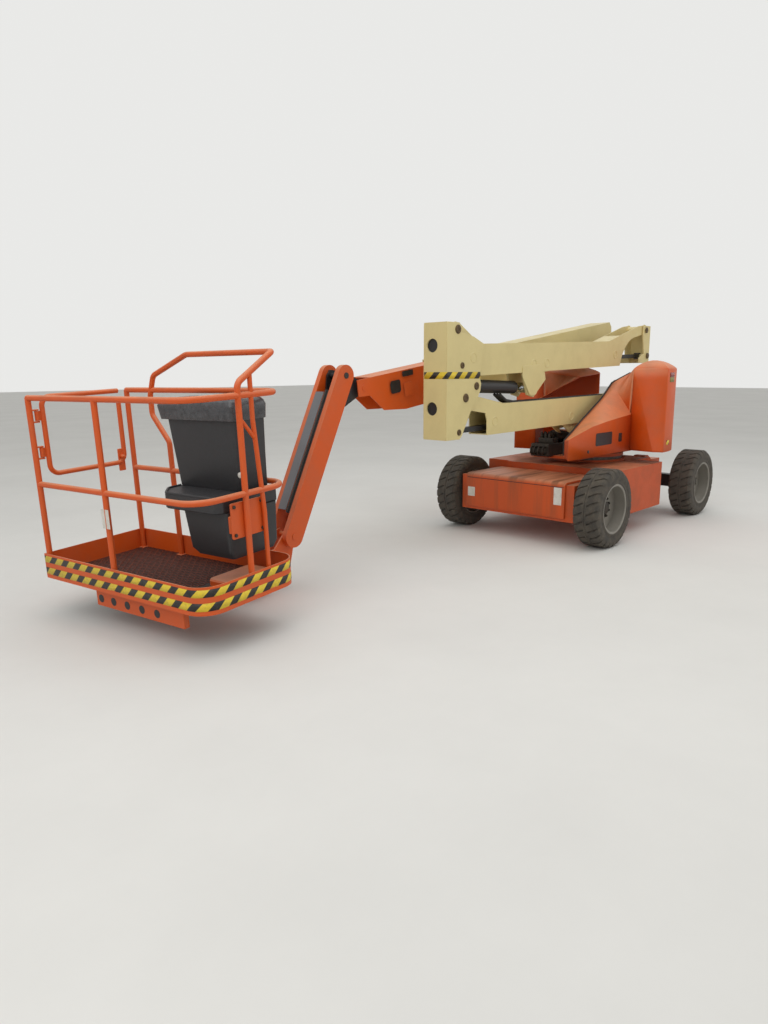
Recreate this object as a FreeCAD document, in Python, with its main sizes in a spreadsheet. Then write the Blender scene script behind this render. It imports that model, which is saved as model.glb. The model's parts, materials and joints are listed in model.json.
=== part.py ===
import FreeCAD, Part
import math
import os
import re
import Sketcher
from FreeCAD import Placement, Rotation, Vector

# Articulating boom lift, millimetres, +Z up. The booms point along +X. The machine is drawn about
# the point on the floor midway between its axles, and every piece is seated from there, so that
# the origin of the finished model lies under the middle of the whole machine.

doc = FreeCAD.newDocument("boom_lift")
sheet = doc.addObject("Spreadsheet::Sheet", "Sizes")

# Sizes with their formulas


class Size:
    """A number from the sheet, or one worked out from others, with its value and its formula."""

    def __init__(self, value, text):
        self.value = float(value)
        self.text = text

    def __add__(self, other):
        other = sized(other)
        return Size(self.value + other.value, f"({self.text} + {other.text})")

    def __sub__(self, other):
        other = sized(other)
        return Size(self.value - other.value, f"({self.text} - {other.text})")

    def __mul__(self, other):
        other = sized(other)
        return Size(self.value * other.value, f"({self.text} * {other.text})")

    def __truediv__(self, other):
        other = sized(other)
        return Size(self.value / other.value, f"({self.text} / {other.text})")

    def __radd__(self, other):
        return sized(other) + self

    def __rsub__(self, other):
        return sized(other) - self

    def __rmul__(self, other):
        return sized(other) * self

    def __neg__(self):
        return Size(-self.value, f"(0 - {self.text})")


def sized(number):
    return number if isinstance(number, Size) else Size(number, repr(float(number)))


def cosine(angle):
    return Size(math.cos(math.radians(angle.value)), f"cos({angle.text} * 1 deg)")


def sine(angle):
    return Size(math.sin(math.radians(angle.value)), f"sin({angle.text} * 1 deg)")


def root(square):
    return Size(math.sqrt(square.value), f"sqrt({square.text})")


def given(**entries):
    """Writes named sizes to the sheet, each a cell with an alias, and returns them as Sizes."""
    made = []
    for name, value in entries.items():
        given.row += 1
        sheet.set(f"A{given.row}", name)
        sheet.set(f"B{given.row}", repr(value))
        sheet.setAlias(f"B{given.row}", name)
        made.append(Size(value, f"Sizes.{name}"))
    return made if len(made) > 1 else made[0]


given.row = 0

# Where the middle of the axles lies from the model's origin
frame_back, frame_left = given(frame_back=1908, frame_left=134.5)

# Pieces

PLANES = {"XY": ("XY_Plane", 1), "XZ": ("XZ_Plane", -1), "YZ": ("YZ_Plane", 1)}
pieces = []


class Piece:
    """One body of the model. Its sketches lie on its own planes: XY takes (x, y) and stands at a z,
    XZ takes (x, z) at a y, and YZ takes (y, z) at an x."""

    def __init__(self, name):
        self.name = name
        self.count = 0
        self.body = doc.addObject("PartDesign::Body", name)
        self.body.Label = name
        self.planes = {feature.Role: feature for feature in self.body.Origin.OriginFeatures}
        self.seat(0, 0, 0)
        pieces.append(self)

    def seat(self, x, y, z, pitch=None, yaw=None):
        """Places the body: yaw turns it to the left, then pitch tips its nose down, in degrees."""
        base = (sized(x) - frame_back, sized(y) + frame_left, sized(z))
        turn = (Rotation(Vector(0, 1, 0), pitch.value if pitch else 0)
                * Rotation(Vector(0, 0, 1), yaw.value if yaw else 0))
        self.body.Placement = Placement(Vector(*[along.value for along in base]), turn)
        for letter, along in zip("xyz", base):
            self.body.setExpression(f"Placement.Base.{letter}", along.text)

    def label(self, word):
        self.count += 1
        return f"{self.name}_{word}_{self.count}"

    def sketch(self, plane, away, outline=(), circles=(), start=(0, 0), turn=None):
        """An outline of (a, b) corners, or (a, b, radius) where the edge that leaves the corner is
        an arc, bulging to the right of its direction if the radius is positive, and circles of
        (a, b, radius). start moves the sketch's origin, and turn swings it about its upright."""
        role, side = PLANES[plane]
        drawn = self.body.newObject("Sketcher::SketchObject", self.label("sketch"))
        drawn.AttachmentSupport = [(self.planes[role], "")]
        drawn.MapMode = "FlatFace"
        shift = (sized(start[0]), sized(start[1]), sized(away) * side)
        swing = Rotation(Vector(0, 1, 0), turn.value if turn else 0)
        drawn.AttachmentOffset = Placement(Vector(*[along.value for along in shift]), swing)
        for letter, along in zip("xyz", shift):
            drawn.setExpression(f"AttachmentOffset.Base.{letter}", along.text)
        corners = [(sized(corner[0]), sized(corner[1])) for corner in outline]
        for index, corner in enumerate(outline):
            following = (index + 1) % len(outline)
            first = Vector(corners[index][0].value, corners[index][1].value, 0)
            last = Vector(corners[following][0].value, corners[following][1].value, 0)
            if len(corner) > 2:
                drawn.addGeometry(self.arc(first, last, sized(corner[2]).value), False)
            else:
                drawn.addGeometry(Part.LineSegment(first, last), False)
        for index, corner in enumerate(outline):
            following = (index + 1) % len(outline)
            reverse = len(corner) > 2 and sized(corner[2]).value < 0
            begins, ends = (2, 1) if reverse else (1, 2)
            nxt = outline[following]
            next_begins = 2 if len(nxt) > 2 and sized(nxt[2]).value < 0 else 1
            drawn.addConstraint(Sketcher.Constraint("Coincident", index, ends, following, next_begins))
            for kind, along in (("DistanceX", corners[index][0]), ("DistanceY", corners[index][1])):
                rule = drawn.addConstraint(
                    Sketcher.Constraint(kind, -1, 1, index, begins, along.value))
                drawn.setExpression(f"Constraints[{rule}]", along.text)
            if len(corner) > 2:
                radius = sized(corner[2]) if sized(corner[2]).value > 0 else -sized(corner[2])
                rule = drawn.addConstraint(Sketcher.Constraint("Radius", index, radius.value))
                drawn.setExpression(f"Constraints[{rule}]", radius.text)
        for a, b, radius in circles:
            a, b, radius = sized(a), sized(b), sized(radius)
            ring = drawn.addGeometry(
                Part.Circle(Vector(a.value, b.value, 0), Vector(0, 0, 1), radius.value), False)
            for kind, along in (("DistanceX", a), ("DistanceY", b)):
                rule = drawn.addConstraint(Sketcher.Constraint(kind, -1, 1, ring, 3, along.value))
                drawn.setExpression(f"Constraints[{rule}]", along.text)
            rule = drawn.addConstraint(Sketcher.Constraint("Radius", ring, radius.value))
            drawn.setExpression(f"Constraints[{rule}]", radius.text)
        return drawn

    @staticmethod
    def arc(first, last, radius):
        """The short arc from first to last; a positive radius bulges to the right."""
        chord = last - first
        half = chord.Length / 2
        middle = (first + last) * 0.5
        left = Vector(-chord.y, chord.x, 0).normalize()
        rise = math.sqrt(max(radius * radius - half * half, 0))
        centre = middle + left * (rise if radius > 0 else -rise)
        crown = centre - left * (abs(radius) if radius > 0 else -abs(radius))
        return Part.Arc(first, crown, last)

    def extrude(self, kind, plane, low, high, outline, circles, start):
        low, high = sized(low), sized(high)
        feature = self.body.newObject(kind, self.label("cut" if "Pocket" in kind else "pad"))
        feature.Profile = self.sketch(plane, (low + high) / 2, outline, circles, start)
        feature.Midplane = True
        depth = high - low
        feature.Length = depth.value
        feature.setExpression("Length", depth.text)
        return feature

    def pad(self, plane, low, high, outline=(), circles=(), start=(0, 0)):
        return self.extrude("PartDesign::Pad", plane, low, high, outline, circles, start)

    def pocket(self, plane, low, high, outline=(), circles=(), start=(0, 0)):
        return self.extrude("PartDesign::Pocket", plane, low, high, outline, circles, start)

    def block(self, x, y, z):
        return self.pad("XY", z[0], z[1], rectangle(x, y))

    def void(self, x, y, z):
        return self.pocket("XY", z[0], z[1], rectangle(x, y))

    def bar(self, plane, centre, radius, low, high, bore=None):
        circles = [(*centre, radius)] + ([(*centre, bore)] if bore else [])
        return self.pad(plane, low, high, circles=circles)

    def drill(self, plane, centre, radius, low, high):
        return self.pocket(plane, low, high, circles=[(*centre, radius)])

    def spin(self, plane, away, outline, axis, start=(0, 0), angle=360, turn=None, cut=False):
        """Revolves an outline about the sketch's own H_Axis or V_Axis."""
        kind = "PartDesign::Groove" if cut else "PartDesign::Revolution"
        feature = self.body.newObject(kind, self.label("groove" if cut else "spin"))
        drawn = self.sketch(plane, away, outline, start=start, turn=turn)
        feature.Profile = drawn
        feature.ReferenceAxis = (drawn, [axis])
        feature.Midplane = True
        feature.Angle = sized(angle).value
        feature.setExpression("Angle", sized(angle).text)
        return feature

    def tube(self, plane, away, route, radius, bend, closed=False):
        """A round bar along a flat route of corners, each rounded to the bend."""
        role, side = PLANES[plane]
        spine = self.body.newObject("Sketcher::SketchObject", self.label("route"))
        spine.AttachmentSupport = [(self.planes[role], "")]
        spine.MapMode = "FlatFace"
        lift = sized(away) * side
        spine.AttachmentOffset = Placement(Vector(0, 0, lift.value), Rotation())
        spine.setExpression("AttachmentOffset.Base.z", lift.text)
        corners = [(sized(a), sized(b)) for a, b in route]
        count = len(corners)
        runs = count if closed else count - 1
        for index in range(runs):
            first, last = corners[index], corners[(index + 1) % count]
            spine.addGeometry(Part.LineSegment(
                Vector(first[0].value, first[1].value, 0), Vector(last[0].value, last[1].value, 0)), False)
        for index in range(runs if closed else runs - 1):
            spine.addConstraint(Sketcher.Constraint("Coincident", index, 2, (index + 1) % runs, 1))
        for index, corner in enumerate(corners):
            edge, end = (index, 1) if index < runs else (index - 1, 2)
            for kind, along in (("DistanceX", corner[0]), ("DistanceY", corner[1])):
                rule = spine.addConstraint(Sketcher.Constraint(kind, -1, 1, edge, end, along.value))
                spine.setExpression(f"Constraints[{rule}]", along.text)
        for index in range(0 if closed else 1, count if closed else count - 1):
            spine.fillet((index - 1) % runs, 2, sized(bend).value, True, True)
        sheet.recompute()
        spine.recompute()
        ring = self.body.newObject("Sketcher::SketchObject", self.label("section"))
        ring.AttachmentSupport = [(spine, "Edge1")]
        ring.MapMode = "NormalToEdge"
        ring.addGeometry(Part.Circle(Vector(0, 0, 0), Vector(0, 0, 1), sized(radius).value), False)
        ring.addConstraint(Sketcher.Constraint("Coincident", 0, 3, -1, 1))
        rule = ring.addConstraint(Sketcher.Constraint("Radius", 0, sized(radius).value))
        ring.setExpression(f"Constraints[{rule}]", sized(radius).text)
        feature = self.body.newObject("PartDesign::AdditivePipe", self.label("tube"))
        feature.Profile = ring
        feature.Spine = (spine, [f"Edge{index + 1}" for index in range(len(spine.Shape.Edges))])
        return feature


def rectangle(across, up):
    return [(across[0], up[0]), (across[1], up[0]), (across[1], up[1]), (across[0], up[1])]


def mirrored(side, low, high):
    """A span to the left of the middle, or the same span on the right for side -1."""
    return (low, high) if side > 0 else (-sized(high), -sized(low))


# Wheels

half_wheelbase, tyre_radius, tyre_in, tyre_out = given(
    half_wheelbase=1022, tyre_radius=350, tyre_inner_face=635, tyre_outer_face=875)
rim_radius, rim_wall, disc_plane, disc_wall = given(
    rim_radius=222, rim_wall=9, disc_plane=745, disc_wall=14)
spindle_radius, running_gap, seat_gap = given(spindle_radius=45, running_gap=0.06, seat_gap=0.3)

AXLES = (("drive", 1), ("steer", -1))
SIDES = (("left", 1), ("right", -1))


def tyre(name, x, side):
    """A solid industrial tyre with rounded shoulders, spun about its axle."""
    made = Piece(name)
    low, high = mirrored(side, tyre_in, tyre_out)
    bead = rim_radius + seat_gap
    shoulder = tyre_radius - 30
    made.spin("YZ", x, [
        (low, bead), (high, bead), (high, shoulder, 38), (high - 30, tyre_radius),
        (low + 30, tyre_radius, 38), (low, shoulder)], "H_Axis", start=(0, tyre_radius))
    return made


def rim(name, x, side):
    """A deep rim: the barrel, its two lips, and the disc that bolts to the hub."""
    made = Piece(name)
    barrel = mirrored(side, tyre_in + 5, tyre_out - 5)
    inside = rim_radius - rim_wall
    made.spin("YZ", x, rectangle(barrel, (inside, rim_radius)), "H_Axis", start=(0, tyre_radius))
    lip = mirrored(side, tyre_out - 14, tyre_out - 4)
    made.spin("YZ", x, rectangle(lip, (inside, rim_radius)), "H_Axis", start=(0, tyre_radius))
    disc = mirrored(side, disc_plane, disc_plane + disc_wall)
    made.spin("YZ", x, rectangle(disc, (spindle_radius + running_gap, inside + 2)),
              "H_Axis", start=(0, tyre_radius))
    return made


for axle, ahead in AXLES:
    for hand, side in SIDES:
        place = half_wheelbase * ahead
        tyre(f"{axle}_tyre_{hand}", place, side)
        rim(f"{axle}_rim_{hand}", place, side)

# Chassis

tub_front, tub_rear, tub_half, tub_floor, deck_height = given(
    tub_front=700, tub_rear=560, tub_half_width=478, tub_floor=250, deck_height=640)
nose_front, nose_half, nose_floor, nose_top = given(
    nose_front=1272, nose_half_width=606, nose_floor=225, nose_top=556)
tail_rear, tail_half, tail_floor, tail_top = given(
    tail_rear=1240, tail_half_width=300, tail_floor=285, tail_top=560)
ring_radius, ring_bore, ring_top, slew_back = given(
    ring_radius=390, ring_bore=290, ring_top=690, slew_axis_back=50)

beam_half, yoke_reach = given(axle_beam_half_length=50, yoke_reach=66)

frame = Piece("chassis_frame")
frame.block((-tub_rear, tub_front), (-tub_half, tub_half), (tub_floor, deck_height))
frame.block((tub_front - 1, nose_front), (-nose_half, nose_half), (nose_floor, nose_top))
frame.block((-tail_rear, -tub_rear + 1), (-tail_half, tail_half), (tail_floor, tail_top))
frame.bar("XY", (-slew_back, 0), ring_radius, deck_height - 1, ring_top - 30)
frame.void((-half_wheelbase - beam_half - seat_gap, -half_wheelbase + beam_half + seat_gap),
           (-tail_half - 1, tail_half + 1), (tail_floor - 1, tyre_radius + yoke_reach + seat_gap))

bearing = Piece("slew_bearing")
bearing.bar("XY", (-slew_back, 0), ring_radius - 30, ring_top - 30, ring_top, bore=ring_bore)

cover = Piece("drive_end_cover")
cover_left, cover_right, cover_wall = given(cover_left=510, cover_right=530, cover_thickness=26)
cover.block((nose_front, nose_front + cover_wall), (-cover_right, cover_left), (275, nose_top - 6))

box_out, box_front, box_rear, box_floor, box_wall = given(
    box_outer_face=740, box_front=642, box_rear=250, box_floor=205, box_wall=6)
for hand, side in SIDES:
    shell = Piece(f"battery_box_{hand}")
    across = mirrored(side, tub_half, box_out)
    shell.block((-box_rear, box_front), across, (box_floor, deck_height))
    inner = mirrored(side, tub_half - 1, box_out - box_wall)
    shell.void((-box_rear + box_wall, box_front - box_wall), inner,
               (box_floor + box_wall, deck_height - box_wall))
    pack = Piece(f"battery_pack_{hand}")
    pack.block((-box_rear + 30, box_front - 30), mirrored(side, tub_half + 10, box_out - 20),
               (box_floor + box_wall, deck_height - 60))

# Axles, hubs and steering knuckles

hub_radius, flange_radius, kingpin_out, yoke_half = given(
    hub_radius=105, flange_radius=120, kingpin_out=590, yoke_half_height=62)
for hand, side in SIDES:
    hub = Piece(f"drive_hub_{hand}")
    hub.bar("XZ", (half_wheelbase, tyre_radius), hub_radius,
            *mirrored(side, nose_half, disc_plane - 18))
    hub.bar("XZ", (half_wheelbase, tyre_radius), flange_radius,
            *mirrored(side, disc_plane - 19, disc_plane - seat_gap))
    hub.bar("XZ", (half_wheelbase, tyre_radius), spindle_radius,
            *mirrored(side, disc_plane - 2, disc_plane + 40))

axle_beam = Piece("steer_axle")
axle_beam.block((-half_wheelbase - beam_half, -half_wheelbase + beam_half),
                (-kingpin_out + 40, kingpin_out - 40), (tyre_radius - yoke_reach, tyre_radius + yoke_reach))
pin_radius = given(kingpin_radius=22)
for hand, side in SIDES:
    for low, high in ((-66, -46), (46, 66)):
        axle_beam.block((-half_wheelbase - 45, -half_wheelbase + 45),
                        mirrored(side, kingpin_out - 41, kingpin_out + 38),
                        (tyre_radius + low, tyre_radius + high))
    axle_beam.bar("XY", (-half_wheelbase, kingpin_out * side), pin_radius,
                  tyre_radius - 80, tyre_radius + 80)
    knuckle = Piece(f"steer_knuckle_{hand}")
    knuckle.bar("XY", (-half_wheelbase, kingpin_out * side), 40, tyre_radius - 45.7, tyre_radius + 45.7)
    knuckle.bar("XZ", (-half_wheelbase, tyre_radius), 38, *mirrored(side, kingpin_out + 20, disc_plane - 17))
    knuckle.bar("XZ", (-half_wheelbase, tyre_radius), 100,
                *mirrored(side, disc_plane - 18, disc_plane - seat_gap))
    knuckle.bar("XZ", (-half_wheelbase, tyre_radius), spindle_radius,
                *mirrored(side, disc_plane - 2, disc_plane + 40))
    knuckle.drill("XY", (-half_wheelbase, kingpin_out * side), pin_radius + running_gap,
                  tyre_radius - 46, tyre_radius + 46)

# Turntable

tail_radius, hood_wall, hood_floor, hood_inner = given(
    tail_radius=840, hood_wall=8, hood_floor=760, hood_inner_face=270)
dome_edge, dome_top, dome_radius = given(dome_edge=1515, dome_top=1640, dome_flat_radius=560)
hood_side, hood_nose = given(hood_side_face=500, hood_nose=1100)
tower_mid, upright_width, upright_wall, boom_width = given(
    tower_middle=90, upright_width=220, upright_wall=12, tower_boom_width=186)
plate_low, plate_top = given(turntable_low=690.4, turntable_top=716)

lower_length, low_link_x, low_link_z = given(
    lower_boom_length=3050, lower_link_ahead=80, lower_link_below=265)
upright_low_x, upright_low_z, upright_top_x, upright_top_z = given(
    upright_low_pin_x=2330, upright_low_pin_z=1340, upright_top_pin_x=2440, upright_top_pin_z=1860)
lower_pitch, upper_pitch, upper_length = given(lower_pitch=0.68, upper_pitch=1.89, upper_boom_length=3342)
tower_box, box_under_low, box_under_up, tower_wall = given(
    tower_box_depth=250, lower_box_drop=68, upper_box_drop=110, tower_wall=8)
tower_pin, tube_radius, lobe_radius = given(tower_pin_radius=25, pivot_tube_radius=42, lobe_radius=58)
eye_inset, eye_gap = given(eye_inset=5, eye_gap=1)
up_link_x, up_link_z = given(upper_link_back=60, upper_link_below=270)
link_half, link_width, link_pin = given(link_half_height=20, link_width=60, link_pin_radius=18)

lower_rear = (upright_low_x - lower_length * cosine(lower_pitch),
              upright_low_z + lower_length * sine(lower_pitch))
upper_rear = (upright_top_x - upper_length * cosine(upper_pitch),
              upright_top_z + upper_length * sine(upper_pitch))

table = Piece("turntable_frame")
table.bar("XY", (-slew_back, 0), ring_radius - 12, plate_low, plate_top)
table.bar("XY", (-slew_back, 0), ring_bore - running_gap, ring_top - 26, plate_low + 1)
table.block((-780, 560), (-250, 250), (plate_low, plate_top))
ear_gap = given(ear_gap=5)
for inner, outer in ((-20 - 20, -20 - ear_gap), (200 + ear_gap, 200 + 20)):
    table.pad("XZ", inner, outer, [
        (-790, plate_top - 1), (-500, plate_top - 1), (-520, 1100), (-640, 1400), (-700, 1440), (-790, 1420)])
table.bar("XZ", lower_rear, 25, tower_mid - 130, tower_mid + 130)
table.bar("XZ", (lower_rear[0] + low_link_x, lower_rear[1] - low_link_z), link_pin, tower_mid - 130, tower_mid + 130)

table.pad("XZ", tower_mid - 74, tower_mid - 60, [
    (-440, plate_top - 1), (-260, plate_top - 1), (-300, 890), (-400, 890)])
table.pad("XZ", tower_mid + 60, tower_mid + 74, [
    (-440, plate_top - 1), (-260, plate_top - 1), (-300, 890), (-400, 890)])
table.bar("XZ", (-350, 850), 25, tower_mid - 78, tower_mid + 78)

weight = Piece("counterweight")
flank = hood_inner - seat_gap
weight.pad("XY", 760, 1180, [(-790, -flank), (-790, flank), (-845, flank, 840), (-845, -flank)])
hinge_x, hinge_barrel, hinge_pin, hinge_half, hinge_reach = given(
    hood_hinge_x=-845, hood_hinge_radius=12, hood_hinge_pin=5, hood_hinge_half=30, hood_hinge_reach=70)
HINGE_HEIGHTS = given(low_hinge=860, high_hinge=1110)
for hand, side in SIDES:
    for height in HINGE_HEIGHTS:
        axis = (hinge_x, hood_inner * side)
        weight.drill("XY", axis, hinge_barrel + 1, height - hinge_half - 2, height + hinge_half + 2)
        for low, high in ((-hinge_reach, -hinge_half - 2), (hinge_half + 2, hinge_reach)):
            weight.bar("XY", axis, hinge_barrel, height + low, height + high)
        weight.bar("XY", axis, hinge_pin, height - hinge_reach, height + hinge_reach)

# Hoods

hood_sweep, hood_front, slope_foot_x, slope_foot_z, slope_head_x = given(
    hood_sweep=75, hood_drum_front=0, slope_foot_x=320, slope_foot_z=1300, slope_head_x=-420)
hood_lap = given(hood_lap=10)


def hood(name, side, top, nose_edge, hollow_edge):
    """A hood in one shell: the drum over the tail and the sloping nose ahead of it. It is open
    towards the middle of the machine and below."""
    made = Piece(name)
    rise = top - dome_edge
    run = tail_radius - dome_radius
    bow = (rise * rise + run * run) / (2 * rise)
    middle = sized(161.2) - hood_sweep / 2
    roof = top - hood_wall
    inner = hood_inner + hood_lap
    made.spin("XZ", 0, [
        (tail_radius - hood_wall, hood_floor), (tail_radius, hood_floor), (tail_radius, dome_edge, bow),
        (dome_radius, top), (inner, top), (inner, roof), (dome_radius, roof, -bow),
        (tail_radius - hood_wall, dome_edge - 3)],
        "V_Axis", start=(-slew_back, 0), angle=hood_sweep, turn=middle if side > 0 else -middle)
    face = -tail_radius + 2 if side < 0 else tail_radius - 2
    made.pad("YZ", hood_front - 30, hood_front, [
        (hood_side * side, hood_floor), (face, hood_floor), (face, dome_edge, bow * side),
        (dome_radius * side, top - 2), (hood_side * side, top - 2)])
    made.pocket("YZ", hood_front - 31, hood_front - hood_wall, [
        (hood_side * side, hood_floor - 1), ((tail_radius - 20) * side, hood_floor - 1),
        ((tail_radius - 20) * side, dome_edge), (dome_radius * side, top - 12),
        (hood_side * side, top - 12)])
    slope = [(slope_foot_x, slope_foot_z), (slope_head_x, top - 2)]
    made.pad("XZ", *mirrored(side, inner, hood_side), [
        (hood_front - 20, hood_floor)] + nose_edge + slope + [(slope_head_x, top - 30)])
    under = [(slope_foot_x, slope_foot_z - hood_wall), (slope_head_x - 20, top - hood_wall - 2)]
    made.pocket("XZ", *mirrored(side, hood_inner, hood_side - hood_wall), [
        (slope_head_x - 20, hood_floor - 1)] + hollow_edge + under)
    made.pocket("XZ", *mirrored(side, hood_inner, hood_side + 1), slope + [(slope_foot_x, top + 50)])
    made.void((-slew_back - tail_radius, nose_edge[0][0] + 1), mirrored(side, sized(-1), hood_inner),
              (hood_floor - 1, top + 1))
    fall = (top - hood_wall - 2 - slope_foot_z + hood_wall) / (slope_foot_x - slope_head_x + 20)
    made.pocket("XZ", *mirrored(side, hood_side - hood_wall - 1, hood_side + 1), [
        (slope_head_x - 20, hood_floor - 1), (hood_front - hood_wall, hood_floor - 1),
        (hood_front - hood_wall, slope_foot_z - hood_wall + fall * (slope_foot_x - hood_front + hood_wall)),
        (slope_head_x - 20, top - hood_wall - 2)])
    axis = (hinge_x, hood_inner * side)
    for height in HINGE_HEIGHTS:
        for low, high in ((-hinge_reach - 2, -hinge_half), (hinge_half, hinge_reach + 2)):
            made.drill("XY", axis, hinge_barrel + 1, height + low, height + high)
        made.bar("XY", axis, hinge_barrel, height - hinge_half, height + hinge_half)
        made.drill("XY", axis, hinge_pin + running_gap, height - hinge_half - 1, height + hinge_half + 1)
    return made


hood("hood_left", 1, dome_top,
     [(1100, hood_floor), (1100, 830), (1050, 970), (540, 1280)],
     [(1092, hood_floor - 1), (1092, 830), (1042, 964), (538, 1272)])
right_top = given(right_dome_top=1600)
hood("hood_right", -1, right_top,
     [(505, hood_floor), (505, 1245), (450, 1283)],
     [(497, hood_floor - 1), (497, 1241), (447, 1275)])

# Tower: the lower boom, the middle upright, the upper boom and the rear upright

def tower_boom(name, rear, pitch, length, drop, profile, ends):
    """A box boom whose side plates run on past the box at both ends, to carry the pivot tubes."""
    made = Piece(name)
    made.seat(rear[0], tower_mid, rear[1], pitch=pitch)
    half = boom_width / 2
    bottom = -drop - tower_box
    made.pad("XZ", -half, half, profile)
    for along in (0, length):
        made.bar("XZ", (along, 0), lobe_radius, -half, half)
    hollow = half - tower_wall
    made.pocket("XZ", -hollow, hollow, rectangle((-200, length + 200), (bottom + tower_wall, -drop - tower_wall)))
    for low, high in ((-200, ends[0]), (ends[1], length + 200)):
        made.pocket("XZ", -hollow, hollow, rectangle((low, high), (bottom - 50, 200)))
    for along in (0, length):
        made.bar("XZ", (along, 0), tube_radius, -half, half)
        made.drill("XZ", (along, 0), tower_pin + running_gap, -half - 1, half + 1)
    return made


def cheeks(made, outline, inner, outer, pin, eye_face):
    """Two plates with a stub of pin in each, and the eye of a cylinder's rod between the stubs."""
    for side in (1, -1):
        made.pad("XZ", *mirrored(side, inner, outer), outline)
        made.bar("XZ", pin, tower_pin, *mirrored(side, eye_face + eye_gap, outer + 4))


def along_boom(rear, pitch, x, z):
    """A place in a boom's own directions, from its x and z on the machine."""
    run, rise = sized(x) - rear[0], sized(z) - rear[1]
    return (run * cosine(pitch) - rise * sine(pitch), run * sine(pitch) + rise * cosine(pitch))


low_bottom = -box_under_low - tower_box
lower_boom = tower_boom("lower_tower_boom", lower_rear, lower_pitch, lower_length, box_under_low, [
    (0, lobe_radius - 2), (-40, -40), (80, -110), (240, -200, 200), (330, low_bottom),
    (lower_length - 325, low_bottom), (lower_length - 325, -200), (lower_length - 300, -135),
    (lower_length - 70, -100), (lower_length + 30, -48), (lower_length, lobe_radius - 2),
    (lower_length - 180, 5), (lower_length - 560, -box_under_low), (330, -box_under_low)],
    (340, lower_length - 340))
strut_foot_x, strut_foot_z, strut_head_x, strut_head_z, strut_radius = given(
    strut_foot_x=-350, strut_foot_z=850, strut_head_x=550, strut_head_z=995, strut_barrel_radius=48)
strut_head = along_boom(lower_rear, lower_pitch, strut_head_x, strut_head_z)
cheeks(lower_boom, [
    (strut_head[0] - 60, strut_head[1] - 20), (strut_head[0], strut_head[1] - 50),
    (strut_head[0] + 60, strut_head[1] - 30), (strut_head[0] + 190, low_bottom + 2),
    (strut_head[0] - 170, low_bottom + 2)], 60, 74, strut_head, strut_radius - eye_inset)

up_bottom = -box_under_up - tower_box
upper_boom = tower_boom("upper_tower_boom", upper_rear, upper_pitch, upper_length, box_under_up, [
    (-20, lobe_radius - 4), (-20, -52), (60, -46), (210, -70, -400), (560, up_bottom),
    (upper_length - 320, up_bottom), (upper_length - 320, -170), (upper_length - 100, -90),
    (upper_length + 30, -48), (upper_length, lobe_radius - 2), (upper_length - 60, 40),
    (upper_length - 310, -box_under_up), (820, -box_under_up), (150, 42)],
    (570, upper_length - 340))
gusset_x, gusset_z, tower_barrel = given(gusset_pin_x=1360, gusset_pin_z=1400, tower_barrel_radius=55)
gusset_pin = along_boom(upper_rear, upper_pitch, gusset_x, gusset_z)
cheeks(upper_boom, [
    (gusset_pin[0] - 240, up_bottom + 2), (gusset_pin[0] - 260, gusset_pin[1] + 60),
    (gusset_pin[0] - 60, gusset_pin[1] - 85), (gusset_pin[0] + 40, gusset_pin[1] - 60),
    (gusset_pin[0] + 120, up_bottom + 2)], 70, 88, gusset_pin, tower_barrel - eye_inset)


def tower_link(name, rear, pitch, length):
    """The flat link inside a tower boom that keeps its upright upright."""
    made = Piece(name)
    made.seat(rear[0], tower_mid, rear[1], pitch=pitch)
    half = link_width / 2
    made.pad("XZ", -half, half, rectangle((0, length), (-link_half, link_half)))
    for along in (0, length):
        made.bar("XZ", (along, 0), 34, -half, half)
        made.drill("XZ", (along, 0), link_pin + running_gap, -half - 1, half + 1)
    return made


tower_link("lower_tower_link", (lower_rear[0] + low_link_x, lower_rear[1] - low_link_z), lower_pitch, lower_length)
tower_link("upper_tower_link", (upper_rear[0] - up_link_x, upper_rear[1] - up_link_z), upper_pitch, upper_length)

upright_front, upright_foot, upright_head = given(upright_front=2570, upright_foot=1020, upright_head=1912)
cylinder_pin_x, cylinder_pin_z = given(tower_cylinder_x=2190, tower_cylinder_z=1430)
upright = Piece("mid_upright")
upright.seat(0, tower_mid, 0)
across = upright_width / 2
upright.pad("XZ", -across, across, [
    (upright_front, upright_foot), (upright_front, upright_head), (upright_top_x - 10, upright_head),
    (upright_top_x - 52, upright_top_z), (upright_top_x - 52, 1700), (2290, 1640), (2160, 1520),
    (2120, 1450), (2130, 1390), (2262, 1222), (2400, upright_foot + 8), (2420, upright_foot)])
upright.pocket("XZ", -across + upright_wall, across - upright_wall,
               rectangle((2000, upright_front - upright_wall), (upright_foot - 10, upright_head + 10)))
hole_radius, hole_aside = given(front_hole_radius=52, front_hole_aside=-30)
for height in (1260, 1740):
    upright.drill("YZ", (hole_aside, height), hole_radius, upright_front - 30, upright_front + 10)
for x, z, radius in ((upright_low_x, upright_low_z, tower_pin), (upright_top_x, upright_top_z, tower_pin),
                     (upright_low_x + low_link_x, upright_low_z - low_link_z, link_pin),
                     (upright_top_x - up_link_x, upright_top_z - up_link_z, link_pin),
                     (cylinder_pin_x, cylinder_pin_z, tower_pin)):
    upright.bar("XZ", (x, z), radius, -across - 6, across + 6)

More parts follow.
